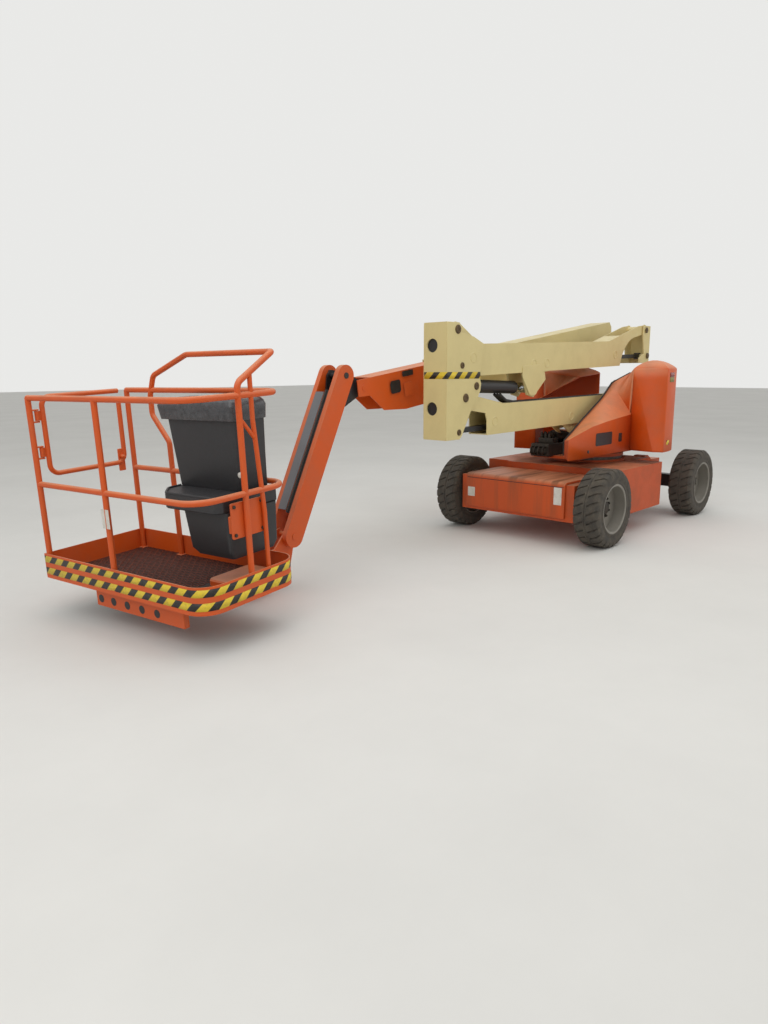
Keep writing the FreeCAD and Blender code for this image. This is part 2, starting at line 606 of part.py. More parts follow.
rear_upright = Piece("rear_upright")
rear_upright.seat(upper_rear[0], tower_mid, upper_rear[1])
boom_mid, main_x, main_z, main_pitch = given(
    main_boom_aside=335, main_pivot_x=-890, main_pivot_z=1900, main_pitch=8.2)
base_half, base_half_width, base_length = given(base_half_depth=172, base_half_width=115, base_length=2980)
lift_x, lift_z, lift_aside = given(lift_pin_x=-800, lift_pin_z=1648, lift_aside=112)
main_from = (main_x - upper_rear[0], main_z - upper_rear[1])
lift_from = (lift_x - upper_rear[0], lift_z - upper_rear[1])
ear_wall = given(ear_wall=12)
aside = -boom_mid - tower_mid
inner_ear = (aside + base_half_width + ear_gap, aside + base_half_width + ear_gap + ear_wall)
outer_ear = (aside - base_half_width - ear_gap - ear_wall, aside - base_half_width - ear_gap)
for low, high in ((-across, -across + upright_wall), (across - upright_wall, across)):
    rear_upright.pad("XZ", low, high, [
        (-100, 46), (62, 46), (62, -60), (20, -250), (lift_from[0] + 30, lift_from[1] + 25),
        (lift_from[0] + 30, lift_from[1] - 25), (-105, lift_from[1] - 25)])
for low, high in (inner_ear, outer_ear):
    rear_upright.pad("XZ", low, high, [
        (-100, lift_from[1] - 25), (lift_from[0] + 30, lift_from[1] - 25), (lift_from[0] + 30, lift_from[1] + 25),
        (main_from[0] + 50, main_from[1]), (main_from[0] + 20, main_from[1] + 50), (main_from[0] - 40, main_from[1] + 50),
        (main_from[0] - 60, main_from[1])])
rear_upright.block((-100, -10), (outer_ear[0], -across + upright_wall), (lift_from[1] - 25, lift_from[1] + 10))
rear_upright.block((-112, -100), (-across, across), (lift_from[1] - 25, 46))
rear_upright.bar("XZ", (0, 0), tower_pin, -across - 6, across + 6)
rear_upright.bar("XZ", (-up_link_x, -up_link_z), link_pin, -across - 6, across + 6)
rear_upright.bar("XZ", main_from, 30, outer_ear[0] - 6, inner_ear[1] + 6)
rear_upright.bar("XZ", lift_from, tower_pin, inner_ear[0], -across + upright_wall)

# Main boom and fly

base = Piece("main_boom_base")
base.seat(main_x, -boom_mid, main_z, pitch=main_pitch)
base_wall, fly_half, fly_half_width, fly_rear, fly_front = given(
    base_wall=7, fly_half_depth=155, fly_half_width=98, fly_rear=700, fly_front=3996)
base.pad("XZ", -base_half_width, base_half_width, [
    (-60, -80), (60, -base_half), (base_length, -base_half), (base_length, base_half), (-20, base_half), (-60, 120)])
base.pocket("XZ", -base_half_width + base_wall, base_half_width - base_wall, rectangle(
    (-100, base_length + 100), (-base_half + base_wall, base_half - base_wall)))
base.bar("XZ", (0, 0), 50, -base_half_width, base_half_width)
base.drill("XZ", (0, 0), 30 + running_gap, -base_half_width - 1, base_half_width + 1)
lift_reach, lift_drop = given(lift_reach=1050, lift_drop=95)
base.pad("XZ", base_half_width - 1, base_half_width + 14, [
    (lift_reach - 90, -base_half + 10), (lift_reach + 90, -base_half + 10), (lift_reach + 60, 20), (lift_reach - 60, 20)])
lift_barrel = given(main_barrel_radius=46)
lift_eye = lift_barrel - eye_inset + eye_gap
lift_from_boom = boom_mid - lift_aside
base.bar("XZ", (lift_reach, -lift_drop), 40, base_half_width + 13, lift_from_boom - lift_eye)
base.pad("XZ", lift_from_boom + lift_eye, lift_from_boom + lift_eye + 14, [
    (lift_reach - 45, -lift_drop - 40), (lift_reach + 45, -lift_drop - 40), (lift_reach + 60, 26), (lift_reach - 60, 26)])
base.bar("XZ", (lift_reach, -lift_drop), tower_pin, lift_from_boom + lift_eye, lift_from_boom + lift_eye + 20)
base.block((lift_reach - 60, lift_reach + 60), (base_half_width + 13, lift_from_boom + lift_eye + 1), (12, 26))

fly = Piece("fly_boom")
fly.seat(main_x, -boom_mid, main_z, pitch=main_pitch)
fly.pad("XZ", -fly_half_width, fly_half_width, [
    (fly_rear, -fly_half), (3480, -fly_half), (3734, -118), (3876, 20), (fly_front, 30),
    (fly_front, fly_half), (fly_rear, fly_half)])
fly.pocket("XZ", -fly_half_width + base_wall, fly_half_width - base_wall, rectangle(
    (fly_rear - 10, fly_front + 10), (-fly_half + base_wall, fly_half - base_wall)))
fly.pocket("XZ", -fly_half_width + base_wall, fly_half_width - base_wall, rectangle(
    (3850, fly_front + 10), (60, fly_half + 1)))
fly.drill("XZ", (3440, 0), 45, -fly_half_width - 1, fly_half_width + 1)
knuckle_reach, knuckle_rise, knuckle_pin = given(knuckle_reach=3930, knuckle_rise=90, knuckle_pin_radius=22)
fly.bar("XZ", (knuckle_reach, knuckle_rise), knuckle_pin, -fly_half_width - 4, fly_half_width + 4)
for low, high in ((base_half_width * 0 - fly_half_width - 9.6, -fly_half_width), (fly_half_width, fly_half_width + 9.6)):
    for along in (fly_rear + 10, 2700):
        fly.block((along, along + 120), (low, high), (-60, 60))

# Knuckle, jib and platform support

knuckle_x = main_x + knuckle_reach * cosine(main_pitch) + knuckle_rise * sine(main_pitch)
knuckle_z = main_z - knuckle_reach * sine(main_pitch) + knuckle_rise * cosine(main_pitch)
jib_x, jib_z, jib_length, jib_fall, tilt = given(
    jib_pin_x=3210, jib_pin_z=1520, jib_length=1240, jib_fall=64.7, platform_tilt=2.6)
jib_link_x, jib_link_z, jib_half, jib_out, jib_in = given(
    jib_link_ahead=40, jib_link_below=250, jib_half_depth=78, jib_outer=110, jib_inner=66)
jib_pin, knuckle_half = given(jib_pin_radius=22, knuckle_half_width=60)
head = Piece("jib_knuckle")
head.seat(knuckle_x, -boom_mid, knuckle_z)
to_jib = (jib_x - knuckle_x, jib_z - knuckle_z)
to_link = (to_jib[0] + jib_link_x, to_jib[1] - jib_link_z)
for low, high in ((-knuckle_half, -knuckle_half + 14), (knuckle_half - 14, knuckle_half)):
    head.pad("XZ", low, high, [
        (-40, 25), (-30, -35), (to_link[0] - 50, to_link[1] + 10), (to_link[0] - 20, to_link[1] - 40),
        (to_link[0] + 35, to_link[1] - 25), (to_jib[0] + 45, to_jib[1]), (to_jib[0] + 15, to_jib[1] + 42),
        (to_jib[0] - 30, to_jib[1] + 38)])
head.bar("XZ", (0, 0), 38, -knuckle_half, knuckle_half)
head.drill("XZ", (0, 0), knuckle_pin + running_gap, -knuckle_half - 1, knuckle_half + 1)
head.bar("XZ", to_jib, jib_pin, -jib_out - 5, jib_out + 5)
head.bar("XZ", to_link, jib_pin, -knuckle_half - 5, knuckle_half + 3)

arms = Piece("jib_arms")
arms.seat(jib_x, -boom_mid, jib_z, pitch=jib_fall)
for hand, side in SIDES:
    span = mirrored(side, jib_in, jib_out)
    arms.pad("XZ", *span, rectangle((0, jib_length), (-jib_half, jib_half)))
    for along in (0, jib_length):
        arms.bar("XZ", (along, 0), jib_half, *span)
    for along in (0, jib_length):
        arms.drill("XZ", (along, 0), jib_pin + running_gap, span[0] - 1, span[1] + 1)
arms.block((170, jib_length - 170), (-jib_in - 5, jib_in + 5), (jib_half - 10, jib_half))
jib_lift_reach, jib_barrel, jib_cylinder_aside = given(jib_cylinder_reach=1050, jib_barrel_radius=28, jib_cylinder_aside=18)
arms.bar("XZ", (jib_lift_reach, 0), jib_pin, jib_cylinder_aside + jib_barrel - eye_inset + eye_gap, jib_in + 1)

link = Piece("jib_link")
link.seat(jib_x + jib_link_x, -boom_mid, jib_z - jib_link_z, pitch=jib_fall)
link_low, link_high = given(jib_link_right=-44, jib_link_left=-18)
link.pad("XZ", link_low, link_high, rectangle((0, jib_length), (-20, 20)))
for along in (0, jib_length):
    link.bar("XZ", (along, 0), 32, link_low, link_high)
    link.drill("XZ", (along, 0), jib_pin + running_gap, link_low - 1, link_high + 1)

foot_x = jib_x + jib_length * cosine(jib_fall)
foot_z = jib_z - jib_length * sine(jib_fall)
turn_ahead, turn_low, turn_high = given(rotator_ahead=240, rotator_low=-290, rotator_high=-70)
shaft_radius, boss_radius = given(rotator_shaft_radius=32, rotator_boss_radius=72)
support = Piece("platform_support")
support.seat(foot_x, -boom_mid, foot_z, pitch=tilt)
lower_eye = (jib_link_x * cosine(tilt) + jib_link_z * sine(tilt),
             jib_link_x * sine(tilt) - jib_link_z * cosine(tilt))
for low, high in ((-knuckle_half, -knuckle_half + 14), (knuckle_half - 14, knuckle_half)):
    support.pad("XZ", low, high, [
        (-45, 0), (12, -200), (20, turn_low), (turn_ahead, turn_low), (turn_ahead, turn_high),
        (turn_ahead - boss_radius - 20, turn_high), (50, 30), (0, 45), (-35, 30)])
support.bar("XZ", (0, 0), jib_pin, -jib_out - 5, jib_out + 5)
support.bar("XZ", lower_eye, jib_pin, -knuckle_half - 3, knuckle_half + 3)
support.bar("XY", (turn_ahead, 0), boss_radius, turn_low, turn_high)
support.drill("XY", (turn_ahead, 0), shaft_radius + running_gap, turn_low - 1, turn_high + 1)

# Platform: the mount that turns on the support, the floor, rails, gate and console

deck_yaw, deck_depth, deck_width, deck_back, deck_aside = given(
    platform_yaw=8, platform_depth=760, platform_width=1520, platform_back=303, platform_aside=-101)
turn_x = foot_x + turn_ahead * cosine(tilt) + turn_low * sine(tilt)
turn_z = foot_z - turn_ahead * sine(tilt) + turn_low * cosine(tilt)


def platform_piece(name):
    """A piece of the platform, drawn from the foot of the shaft it turns on, +X to its front."""
    made = Piece(name)
    made.seat(turn_x, -boom_mid, turn_z, pitch=tilt, yaw=deck_yaw)
    return made


floor_low, floor_high = given(floor_low=200, floor_high=225)
boss_height = turn_high - turn_low
mount = platform_piece("platform_mount")
mount.bar("XY", (0, 0), 78, -25, -seat_gap)
mount.bar("XY", (0, 0), 78, boss_height + seat_gap, boss_height + 20)
mount.bar("XY", (0, 0), shaft_radius, -24, boss_height + 19)
mount.block((0, 130), (-78, 78), (-25, -seat_gap))
mount.block((0, 130), (-78, 78), (boss_height + seat_gap, boss_height + 20))
mount.block((100, 130), (-110, 110), (-25, boss_height + 20))
for side in (1, -1):
    mount.block((129, 960), mirrored(side, 60, 110), (80, floor_low - seat_gap))
mount.block((560, 640), (-560, 460), (110, floor_low - seat_gap))

left_edge = deck_aside + deck_width / 2
right_edge = deck_aside - deck_width / 2
front_edge = deck_back + deck_depth
toe_top, toe_wall, deck_corner = given(toe_top=362, toe_wall=6, deck_corner=140)


def rounded(inset):
    """The platform's outline from above, its left corners rounded, drawn in by the inset."""
    low_x, high_x = deck_back + inset, front_edge - inset
    low_y, high_y = right_edge + inset, left_edge - inset
    curve = deck_corner - inset
    return [(low_x, low_y), (high_x, low_y), (high_x, high_y - curve, curve), (high_x - curve, high_y),
            (low_x + curve, high_y, curve), (low_x, high_y - curve)]


floor = platform_piece("platform_floor")
floor.pad("XY", floor_low, floor_high, rounded(toe_wall + seat_gap))
toe = platform_piece("toe_board")
toe.pad("XY", floor_low, toe_top, rounded(sized(0)))
toe.pocket("XY", floor_low - 1, toe_top + 1, rounded(toe_wall))

rail_height, rail_middle, tube_size, post_size, post_inset = given(
    rail_height=1355, rail_middle=815, rail_tube_radius=16, post_radius=15, post_inset=24)
rails = platform_piece("platform_rails")
loop = [(deck_back + post_inset, right_edge + post_inset), (front_edge - post_inset, right_edge + post_inset),
        (front_edge - post_inset, left_edge - post_inset), (deck_back + post_inset, left_edge - post_inset)]
rails.tube("XY", rail_height, [loop[0], loop[3], loop[2], loop[1]], tube_size, deck_corner)
rails.tube("XY", rail_middle, [loop[0], loop[3], loop[2], loop[1]], tube_size, deck_corner)
for x, y in (loop[0], loop[1], (loop[1][0], right_edge + 480), (front_edge - post_inset, left_edge - 210),
             (deck_back + 330, loop[3][1]), (loop[0][0], left_edge - 210)):
    rails.bar("XY", (x, y), post_size, floor_high + seat_gap, rail_height)

gate_low, gate_end, gate_back, gate_gap = given(gate_low=865, gate_end=75, gate_hinge_back=45, gate_gap=40)
gate = platform_piece("side_gate")
hinge_x, hinge_y = loop[1][0] - gate_back, loop[1][1]
gate_pin, gate_barrel, lug_half = given(gate_pin_radius=8, gate_barrel_radius=14, gate_lug_half=30)
gate.tube("XZ", hinge_y, [
    (loop[0][0] + gate_end, rail_height), (hinge_x - gate_gap, rail_height), (hinge_x - gate_gap, gate_low),
    (loop[0][0] + gate_end, gate_low), (loop[0][0] + gate_end, rail_height - 40)], tube_size, 60)
for height in (1240, 1010):
    gate.block((hinge_x - gate_gap, hinge_x - 6), (hinge_y - 4, hinge_y + 4),
               (height - lug_half, height + lug_half))
    gate.bar("XY", (hinge_x, hinge_y), gate_barrel, height - lug_half, height + lug_half)
    gate.drill("XY", (hinge_x, hinge_y), gate_pin + running_gap, height - lug_half - 1, height + lug_half + 1)
    rails.bar("XY", (hinge_x, hinge_y), gate_pin, height - lug_half - 10, height + lug_half + 10)
    for low in (height - lug_half - 12, height + lug_half + 2):
        rails.block((hinge_x - 12, loop[1][0] - 5), (hinge_y - 10, hinge_y + 10), (low, low + 10))

console = platform_piece("control_console")
console.block((deck_back + 50, deck_back + 330), (left_edge - 720, left_edge - 220), (560, 1180))
console.block((deck_back + 50, deck_back + 300), (left_edge - 600, left_edge - 200), (floor_high + seat_gap, 561))

# Cylinders: each a barrel that swings on its own pin, and a rod that slides in it


def cylinder(name, start, end, aside_y, barrel_radius, rod_radius, barrel_length, pin, eye_half):
    """A hydraulic cylinder from the pin at start to the pin at end, drawn along its own length."""
    run = (end[0] - start[0], end[1] - start[1])
    length = root(run[0] * run[0] + run[1] * run[1])
    pitch = Size(-math.degrees(math.atan2(run[1].value, run[0].value)), "0")
    barrel = Piece(f"{name}_barrel")
    barrel.seat(start[0], aside_y, start[1], pitch=pitch)
    barrel.bar("YZ", (0, 0), barrel_radius, 30, barrel_length)
    barrel.bar("XZ", (0, 0), eye_half, -barrel_radius + eye_inset, barrel_radius - eye_inset)
    barrel.drill("XZ", (0, 0), pin + running_gap, -barrel_radius, barrel_radius)
    barrel.drill("YZ", (0, 0), rod_radius + running_gap, 70, barrel_length + 1)
    rod = Piece(f"{name}_rod")
    rod.seat(start[0], aside_y, start[1], pitch=pitch)
    rod.bar("YZ", (0, 0), rod_radius, 80, length - eye_half + 4)
    rod.bar("XZ", (length, 0), eye_half, -barrel_radius + eye_inset, barrel_radius - eye_inset)
    rod.drill("XZ", (length, 0), pin + running_gap, -barrel_radius, barrel_radius)
    print(f"cylinder {name}: length {length.value:.1f} pitch {pitch.value:.2f}")


cylinder("tower_cylinder", (cylinder_pin_x, cylinder_pin_z), (gusset_x, gusset_z), tower_mid,
         tower_barrel, sized(30), sized(690), tower_pin, sized(45))
cylinder("tower_strut", (strut_foot_x, strut_foot_z), (strut_head_x, strut_head_z), tower_mid,
         strut_radius, sized(30), sized(845), tower_pin, sized(42))
lift_end = (main_x + lift_reach * cosine(main_pitch) - lift_drop * sine(main_pitch),
            main_z - lift_reach * sine(main_pitch) - lift_drop * cosine(main_pitch))
cylinder("main_cylinder", (lift_x, lift_z), lift_end, -lift_aside,
         lift_barrel, sized(27), sized(780), tower_pin, sized(42))
cylinder("jib_cylinder", (jib_x + jib_link_x, jib_z - jib_link_z),
         (jib_x + jib_lift_reach * cosine(jib_fall), jib_z - jib_lift_reach * sine(jib_fall)),
         -boom_mid + jib_cylinder_aside, jib_barrel, sized(16), sized(640), jib_pin, sized(34))


# Checks and export

doc.recompute()
for item in doc.Objects:
    if {"Invalid", "Error"} & set(item.State):
        raise RuntimeError(f"{item.Label} could not be made: {item.State}")
os.makedirs("parts", exist_ok=True)
for piece in pieces:
    shape = piece.body.Shape
    if shape.isNull() or not shape.isValid():
        raise RuntimeError(f"{piece.name} is not a sound solid")
for piece in pieces:
    piece.body.Shape.exportStep(f"parts/{piece.name}.step")
    box = piece.body.Shape.BoundBox
    print(f"{piece.name}: {len(piece.body.Shape.Solids)} solid, {piece.body.Shape.Volume / 1e6:.2f} litres")
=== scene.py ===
# %% [markdown]
# # An articulating boom lift
# The rigid parts come in as a finished frame from CAD, and are never moved or reshaped here. This
# script gives them their finishes, and adds what the CAD model leaves out: tread, bolts, warning
# tape, hoses and the platform's open floor. Where a CAD part is plainer than the real one, as the
# hoods, the rails and the console are, a fuller shape stands for it.

# %% The frame
import json
import math

import bmesh
import bpy
import numpy as np
from mathutils import Matrix, Vector


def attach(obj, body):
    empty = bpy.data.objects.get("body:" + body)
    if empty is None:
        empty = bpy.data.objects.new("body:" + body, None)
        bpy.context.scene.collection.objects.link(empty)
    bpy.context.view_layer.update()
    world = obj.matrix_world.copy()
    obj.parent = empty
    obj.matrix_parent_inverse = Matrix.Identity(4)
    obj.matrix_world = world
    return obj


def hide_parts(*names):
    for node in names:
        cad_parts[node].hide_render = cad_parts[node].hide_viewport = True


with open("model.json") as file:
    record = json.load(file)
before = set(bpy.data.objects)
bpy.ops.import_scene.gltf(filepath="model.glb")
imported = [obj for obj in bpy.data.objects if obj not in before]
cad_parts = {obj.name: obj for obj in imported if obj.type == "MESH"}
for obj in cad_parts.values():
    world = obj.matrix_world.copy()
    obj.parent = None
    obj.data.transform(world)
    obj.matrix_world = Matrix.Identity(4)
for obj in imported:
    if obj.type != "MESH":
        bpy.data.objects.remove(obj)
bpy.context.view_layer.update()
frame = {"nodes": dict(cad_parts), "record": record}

NODES = frame["nodes"]

# %% [markdown]
# ## Where things are
# The machine was drawn about the point on the floor midway between its axles, in millimetres. The
# frame's origin lies elsewhere, under the middle of the whole machine, so one function turns a
# place on the machine into a place in the frame.

# %% Places
# how far the machine's own zero lies behind the frame's, and to its left
MACHINE_BACK, MACHINE_LEFT = 1908.0, 134.5


def place(x, y, z):
    """Machine millimetres to frame metres: each coordinate less the origin's, over a thousand."""
    return np.array([(x - MACHINE_BACK), (y + MACHINE_LEFT), z], float) / 1000


print("middle of the axles in the frame:", place(0, 0, 0))

# %% [markdown]
# ## The camera
# The photograph was taken from head height, off the platform's front left corner. A lens of
# 25.6 mm on a 36 mm frame and a camera 1.55 m up, pointed 11 degrees down, put the wheels, the
# booms and the platform where the photograph has them.

# %% Camera
CAMERA_PLACE = place(6973, 3687, 1552)
HEADING, DOWN, ROLL = math.radians(226.75), math.radians(10.98), math.radians(-0.31)
LENS, SENSOR = 25.57, 36


def camera_axes(heading, down, roll):
    """The camera's right, up and back. The heading is read clockwise from +Y, so the level line of
    sight is (sin, cos) of it; that line is tipped down, and the picture is then rolled."""
    right = np.array([math.cos(heading), -math.sin(heading), 0])
    level = np.array([math.sin(heading), math.cos(heading), 0])
    upright = np.array([0, 0, 1])
    up = math.sin(down) * level + math.cos(down) * upright
    ahead = math.cos(down) * level - math.sin(down) * upright
    rolled_right = math.cos(roll) * right + math.sin(roll) * up
    rolled_up = -math.sin(roll) * right + math.cos(roll) * up
    return rolled_right, rolled_up, -ahead


lens = bpy.data.cameras.new("photo_camera")
lens.lens, lens.sensor_width, lens.sensor_fit = LENS, SENSOR, "AUTO"
lens.dof.use_dof = False
camera = bpy.data.objects.new("photo_camera", lens)
bpy.context.collection.objects.link(camera)
aim = Matrix(np.column_stack(camera_axes(HEADING, DOWN, ROLL)).tolist()).to_4x4()
camera.matrix_world = Matrix.Translation(CAMERA_PLACE) @ aim
bpy.context.scene.camera = camera
print("camera at", CAMERA_PLACE.round(3), "looking along", (-aim.col[2].to_3d()).to_tuple(3))

# %% [markdown]
# ## The floor
# A workshop floor would only distract, so the machine stands on a plain pale one. It reaches far
# enough that its edge lies near the horizon.

# %% Floor
FLOOR_HALF = 60.0
floor_mesh = bpy.data.meshes.new("studio_floor")
corners = np.array([[-1, -1, 0], [1, -1, 0], [1, 1, 0], [-1, 1, 0]], float) * FLOOR_HALF
floor_mesh.from_pydata(corners.tolist(), [], [[0, 1, 2, 3]])
studio_floor = bpy.data.objects.new("studio_floor", floor_mesh)
bpy.context.collection.objects.link(studio_floor)
print("floor:", 2 * FLOOR_HALF, "m square")

# %% [markdown]
# ## The lamps
# A large soft lamp overhead, one beside the camera and a weaker one on the far side give the even
# light of a hall with a white ceiling. The world, further down, fills the shadows.

# %% Lamps
# name, metres from the machine's middle, metres across, watts
LAMPS = [("ceiling", (1.0, 1.5, 7.0), 9.0, 230), ("beside_camera", (7.0, 2.0, 4.0), 5.0, 110),
         ("far_side", (-5.0, 6.0, 4.0), 5.0, 70)]
MIDDLE = place(1500, -100, 900)


def lamp(name, where, towards, size, power):
    """A square soft lamp at one place, facing another."""
    data = bpy.data.lights.new(name, "AREA")
    data.shape, data.size, data.energy = "SQUARE", size, power
    lit = bpy.data.objects.new(name, data)
    bpy.context.collection.objects.link(lit)
    lit.location = where
    lit.rotation_euler = Vector(np.subtract(towards, where)).to_track_quat("-Z", "Y").to_euler()


for name, away, size, power in LAMPS:
    lamp(name, MIDDLE + away, MIDDLE, size, power)
bpy.context.scene.view_settings.view_transform = "Standard"

# %% [markdown]
# ## One way to write a material
# Every finish below is a small graph of nodes. A helper adds a node, sets its values and joins
# its inputs, so that each material reads as a short list. Colours are written as they look on a
# screen (sRGB) and turned into the linear numbers that light is worked out with.


# %% Material helpers
def linear(code):
    """An sRGB hex colour as linear RGBA: each channel over 12.92 if dark, else a power of 2.4."""
    channels = np.array([int(code[i:i + 2], 16) for i in (0, 2, 4)]) / 255
    light = np.where(channels <= 0.04045, channels / 12.92, ((channels + 0.055) / 1.055) ** 2.4)
    return (*light.tolist(), 1.0)


def add(tree, kind, settings=None, **inputs):
    """Adds a node. Settings are its properties; inputs are its sockets, by name or number (_0), each
    a value or another node's output."""
    node = tree.nodes.new(kind)
    for key, value in (settings or {}).items():
        setattr(node, key, value)
    for key, value in inputs.items():
        number = key[1:] if key[0] == "_" else ""
        socket = node.inputs[int(number) if number.isdigit() else key.replace("_", " ")]
        if isinstance(value, bpy.types.NodeSocket):
            tree.links.new(value, socket)
        else:
            socket.default_value = value
    return node


def new_material(name):
    """An empty material with its output, and the coordinates of the object in metres."""
    made = bpy.data.materials.new(name)
    made.use_nodes = True
    tree = made.node_tree
    tree.nodes.clear()
    out = tree.nodes.new("ShaderNodeOutputMaterial")
    coords = tree.nodes.new("ShaderNodeTexCoord").outputs["Object"]
    return made, tree, out, coords


def surface(tree, out, **inputs):
    """The shader that the inputs describe, joined to the material's output."""
    shader = add(tree, "ShaderNodeBsdfPrincipled", **inputs)
    tree.links.new(shader.outputs[0], out.inputs["Surface"])


def mixed(tree, factor, first, second):
    """One colour over another by a factor."""
    return add(tree, "ShaderNodeMix", {"data_type": "RGBA"}, _0=factor, _6=first, _7=second).outputs[2]


def steps(tree, value, low, high, to_low=0.0, to_high=1.0):
    """A value's span carried onto another span, and held at its ends."""
    return add(tree, "ShaderNodeMapRange", _0=value, _1=low, _2=high, _3=to_low, _4=to_high).outputs[0]


def worked(tree, operation, first, second=0.0):
    """One sum on two values."""
    return add(tree, "ShaderNodeMath", {"operation": operation}, _0=first, _1=second).outputs[0]


def noise(tree, coords, per_metre, detail, roughness):
    """Clouds of noise, so many to the metre, with finer ones in them."""
    return add(tree, "ShaderNodeTexNoise", Vector=coords, Scale=per_metre, Detail=detail,
               Roughness=roughness).outputs["Fac"]


def facing_up(tree):
    """How far a surface looks up: its normal's height, from -1 to 1."""
    normal = add(tree, "ShaderNodeNewGeometry").outputs["Normal"]
    return add(tree, "ShaderNodeSeparateXYZ", _0=normal).outputs["Z"]


print("middle grey on a screen is", round(linear("808080")[0], 3), "of white's light")

# %% [markdown]
# ## Paint
# The machine is sprayed steel: a gloss enamel that has lost its shine. Sun and years leave upward
# faces paler and duller, and upward faces are painted paler still, as a painted highlight for the
# light from above; dust settles in wide soft patches, and fine scuffs break the gloss. The enamel
# keeps a sharp but weak reflection, so its roughness wanders about a half. On the cover at the
# drive end, wet dirt has run down in lines.

# %% Paint
PATCHES_PER_METRE = 5.0  # dust patches 200 mm across
SPECKS_PER_METRE = 90.0  # scuffs and the paint's own orange peel are 11 mm apart
RUNS_PER_METRE = (0.5, 9.0, 0.7)  # dirt runs are 110 mm apart along Y, and long in X and Z
PEEL_DEPTH = 0.002


def paint(name, fresh, faded_lit_top, dusty, dust_share=0.35, gloss=0.42):
    """Aged alkyd enamel on steel: fresh colour, paler on top from sun fading and from a painted highlight, dust
    in patches 200 mm across.
    """
    made, tree, out, coords = new_material(name)
    upward = facing_up(tree)
    patches = noise(tree, coords, PATCHES_PER_METRE, 5.0, 0.6)
    specks = noise(tree, coords, SPECKS_PER_METRE, 4.0, 0.7)
    # upward faces take the paler colour: partly sun fading, partly a painted highlight for the light from above
    colour = mixed(tree, steps(tree, upward, 0.2, 0.95), linear(fresh), linear(faded_lit_top))
    settled = steps(tree, upward, -0.2, 1.0, dust_share * 0.35, dust_share)
    dust = worked(tree, "MULTIPLY", steps(tree, patches, 0.42, 0.72), settled)
    colour = mixed(tree, dust, colour, linear(dusty))
    colour = mixed(tree, steps(tree, specks, 0.62, 0.8, 0.0, 0.25), colour, linear(dusty))
    rough = worked(tree, "ADD", steps(tree, patches, 0.3, 0.7, gloss, gloss + 0.14),
                   steps(tree, specks, 0.4, 0.8, 0.0, 0.08))
    peel = add(tree, "ShaderNodeBump", Strength=0.05, Distance=PEEL_DEPTH, Height=specks).outputs[0]
    surface(tree, out, Base_Color=colour, Roughness=rough, Normal=peel)
    return made


def streaked(name, fresh, faded_lit_top, dirty):
    """Enamel with dirt run down it: noise that hardly changes along X and Z, and quickly along Y."""
    made, tree, out, coords = new_material(name)
    upward = facing_up(tree)
    drawn = add(tree, "ShaderNodeVectorMath", {"operation": "MULTIPLY"}, _0=coords,
                _1=RUNS_PER_METRE).outputs[0]
    runs = noise(tree, drawn, 1.0, 5.0, 0.6)
    # upward faces take the paler colour: partly sun fading, partly a painted highlight for the light from above
    colour = mixed(tree, steps(tree, upward, 0.2, 0.95), linear(fresh), linear(faded_lit_top))
    dirt = worked(tree, "MULTIPLY", steps(tree, runs, 0.45, 0.6), steps(tree, upward, 0.0, 1.0, 0.35, 0.9))
    colour = mixed(tree, dirt, colour, linear(dirty))
    surface(tree, out, Base_Color=colour, Roughness=steps(tree, runs, 0.3, 0.7, 0.42, 0.62))
    return made


# orange enamel with brown runs of dirt, as on the cover at the drive end
STREAKED = streaked("streaked_enamel", "C44D0E", "C98460", "74492C")
# the machine's own orange: deep on its sides, chalky on top from sun fading, and paler there also as a painted
# highlight
ORANGE = paint("orange_enamel", "D4540C", "DB865A", "86705F")
# the same orange near the ground: browner, and dusty over three quarters of its top
CHASSIS = paint("chassis_enamel", "C24C0E", "BE7450", "6E5443", 0.75, 0.46)
# warm cream that shows little dust
CREAM = paint("cream_enamel", "D8C78C", "DFD0A0", "9A8A62", 0.3)
# black enamel whose top the dust turns brown
BLACK = paint("black_enamel", "1C1C1E", "2B2B2C", "5C554C", 0.45, 0.4)
# the wheels' warm grey
GREY = paint("grey_enamel", "8A857C", "9A958C", "5A544C", 0.4)
# the cold dark grey of the jib's cover plate
DARK_GREY = paint("jib_cover_grey", "6B6D70", "7A7C80", "504C48", 0.3)
print("paints:", [m.name for m in (STREAKED, ORANGE, CHASSIS, CREAM, BLACK, GREY, DARK_GREY)])

# %% [markdown]
# ## Rubber, steel and plastic
# A solid tyre is matt black rubber that picks up floor dust. A cylinder's rod is hard chrome, the
# one mirror on the machine. Pins and bearings are bare turned steel, and the control box is a
# moulded polyethylene shell, slightly waxy.

# %% Rubber, steel and plastic
GRAIN_DEPTH = 0.002


def plain(name, first, second, metallic, low, high, per_metre, bump=0.0):
    """A finish whose colour drifts from the first to the second, and its roughness from low to
    high, with one noise."""
    made, tree, out, coords = new_material(name)
    drift = noise(tree, coords, per_metre, 6.0, 0.65)
    colour = mixed(tree, steps(tree, drift, 0.35, 0.7), linear(first), linear(second))
    rough = steps(tree, drift, 0.3, 0.7, low, high)
    grain = add(tree, "ShaderNodeBump", Strength=bump, Distance=GRAIN_DEPTH, Height=drift).outputs[0]
    surface(tree, out, Base_Color=colour, Roughness=rough, Normal=grain, Metallic=metallic)
    return made


# black rubber gone brown with dust in patches 70 mm across: no shine, and a grain
RUBBER = plain("tyre_rubber", "3D3934", "5B544A", 0.0, 0.8, 0.95, 14.0, 0.3)
# hard chrome: sharp reflections, a little wiped with oil
CHROME = plain("hard_chrome", "C9CBCE", "B8BABC", 1.0, 0.08, 0.2, 30.0)
# turned steel: a broad grey gleam
STEEL = plain("turned_steel", "6E6A64", "4A4540", 0.8, 0.4, 0.6, 25.0, 0.1)
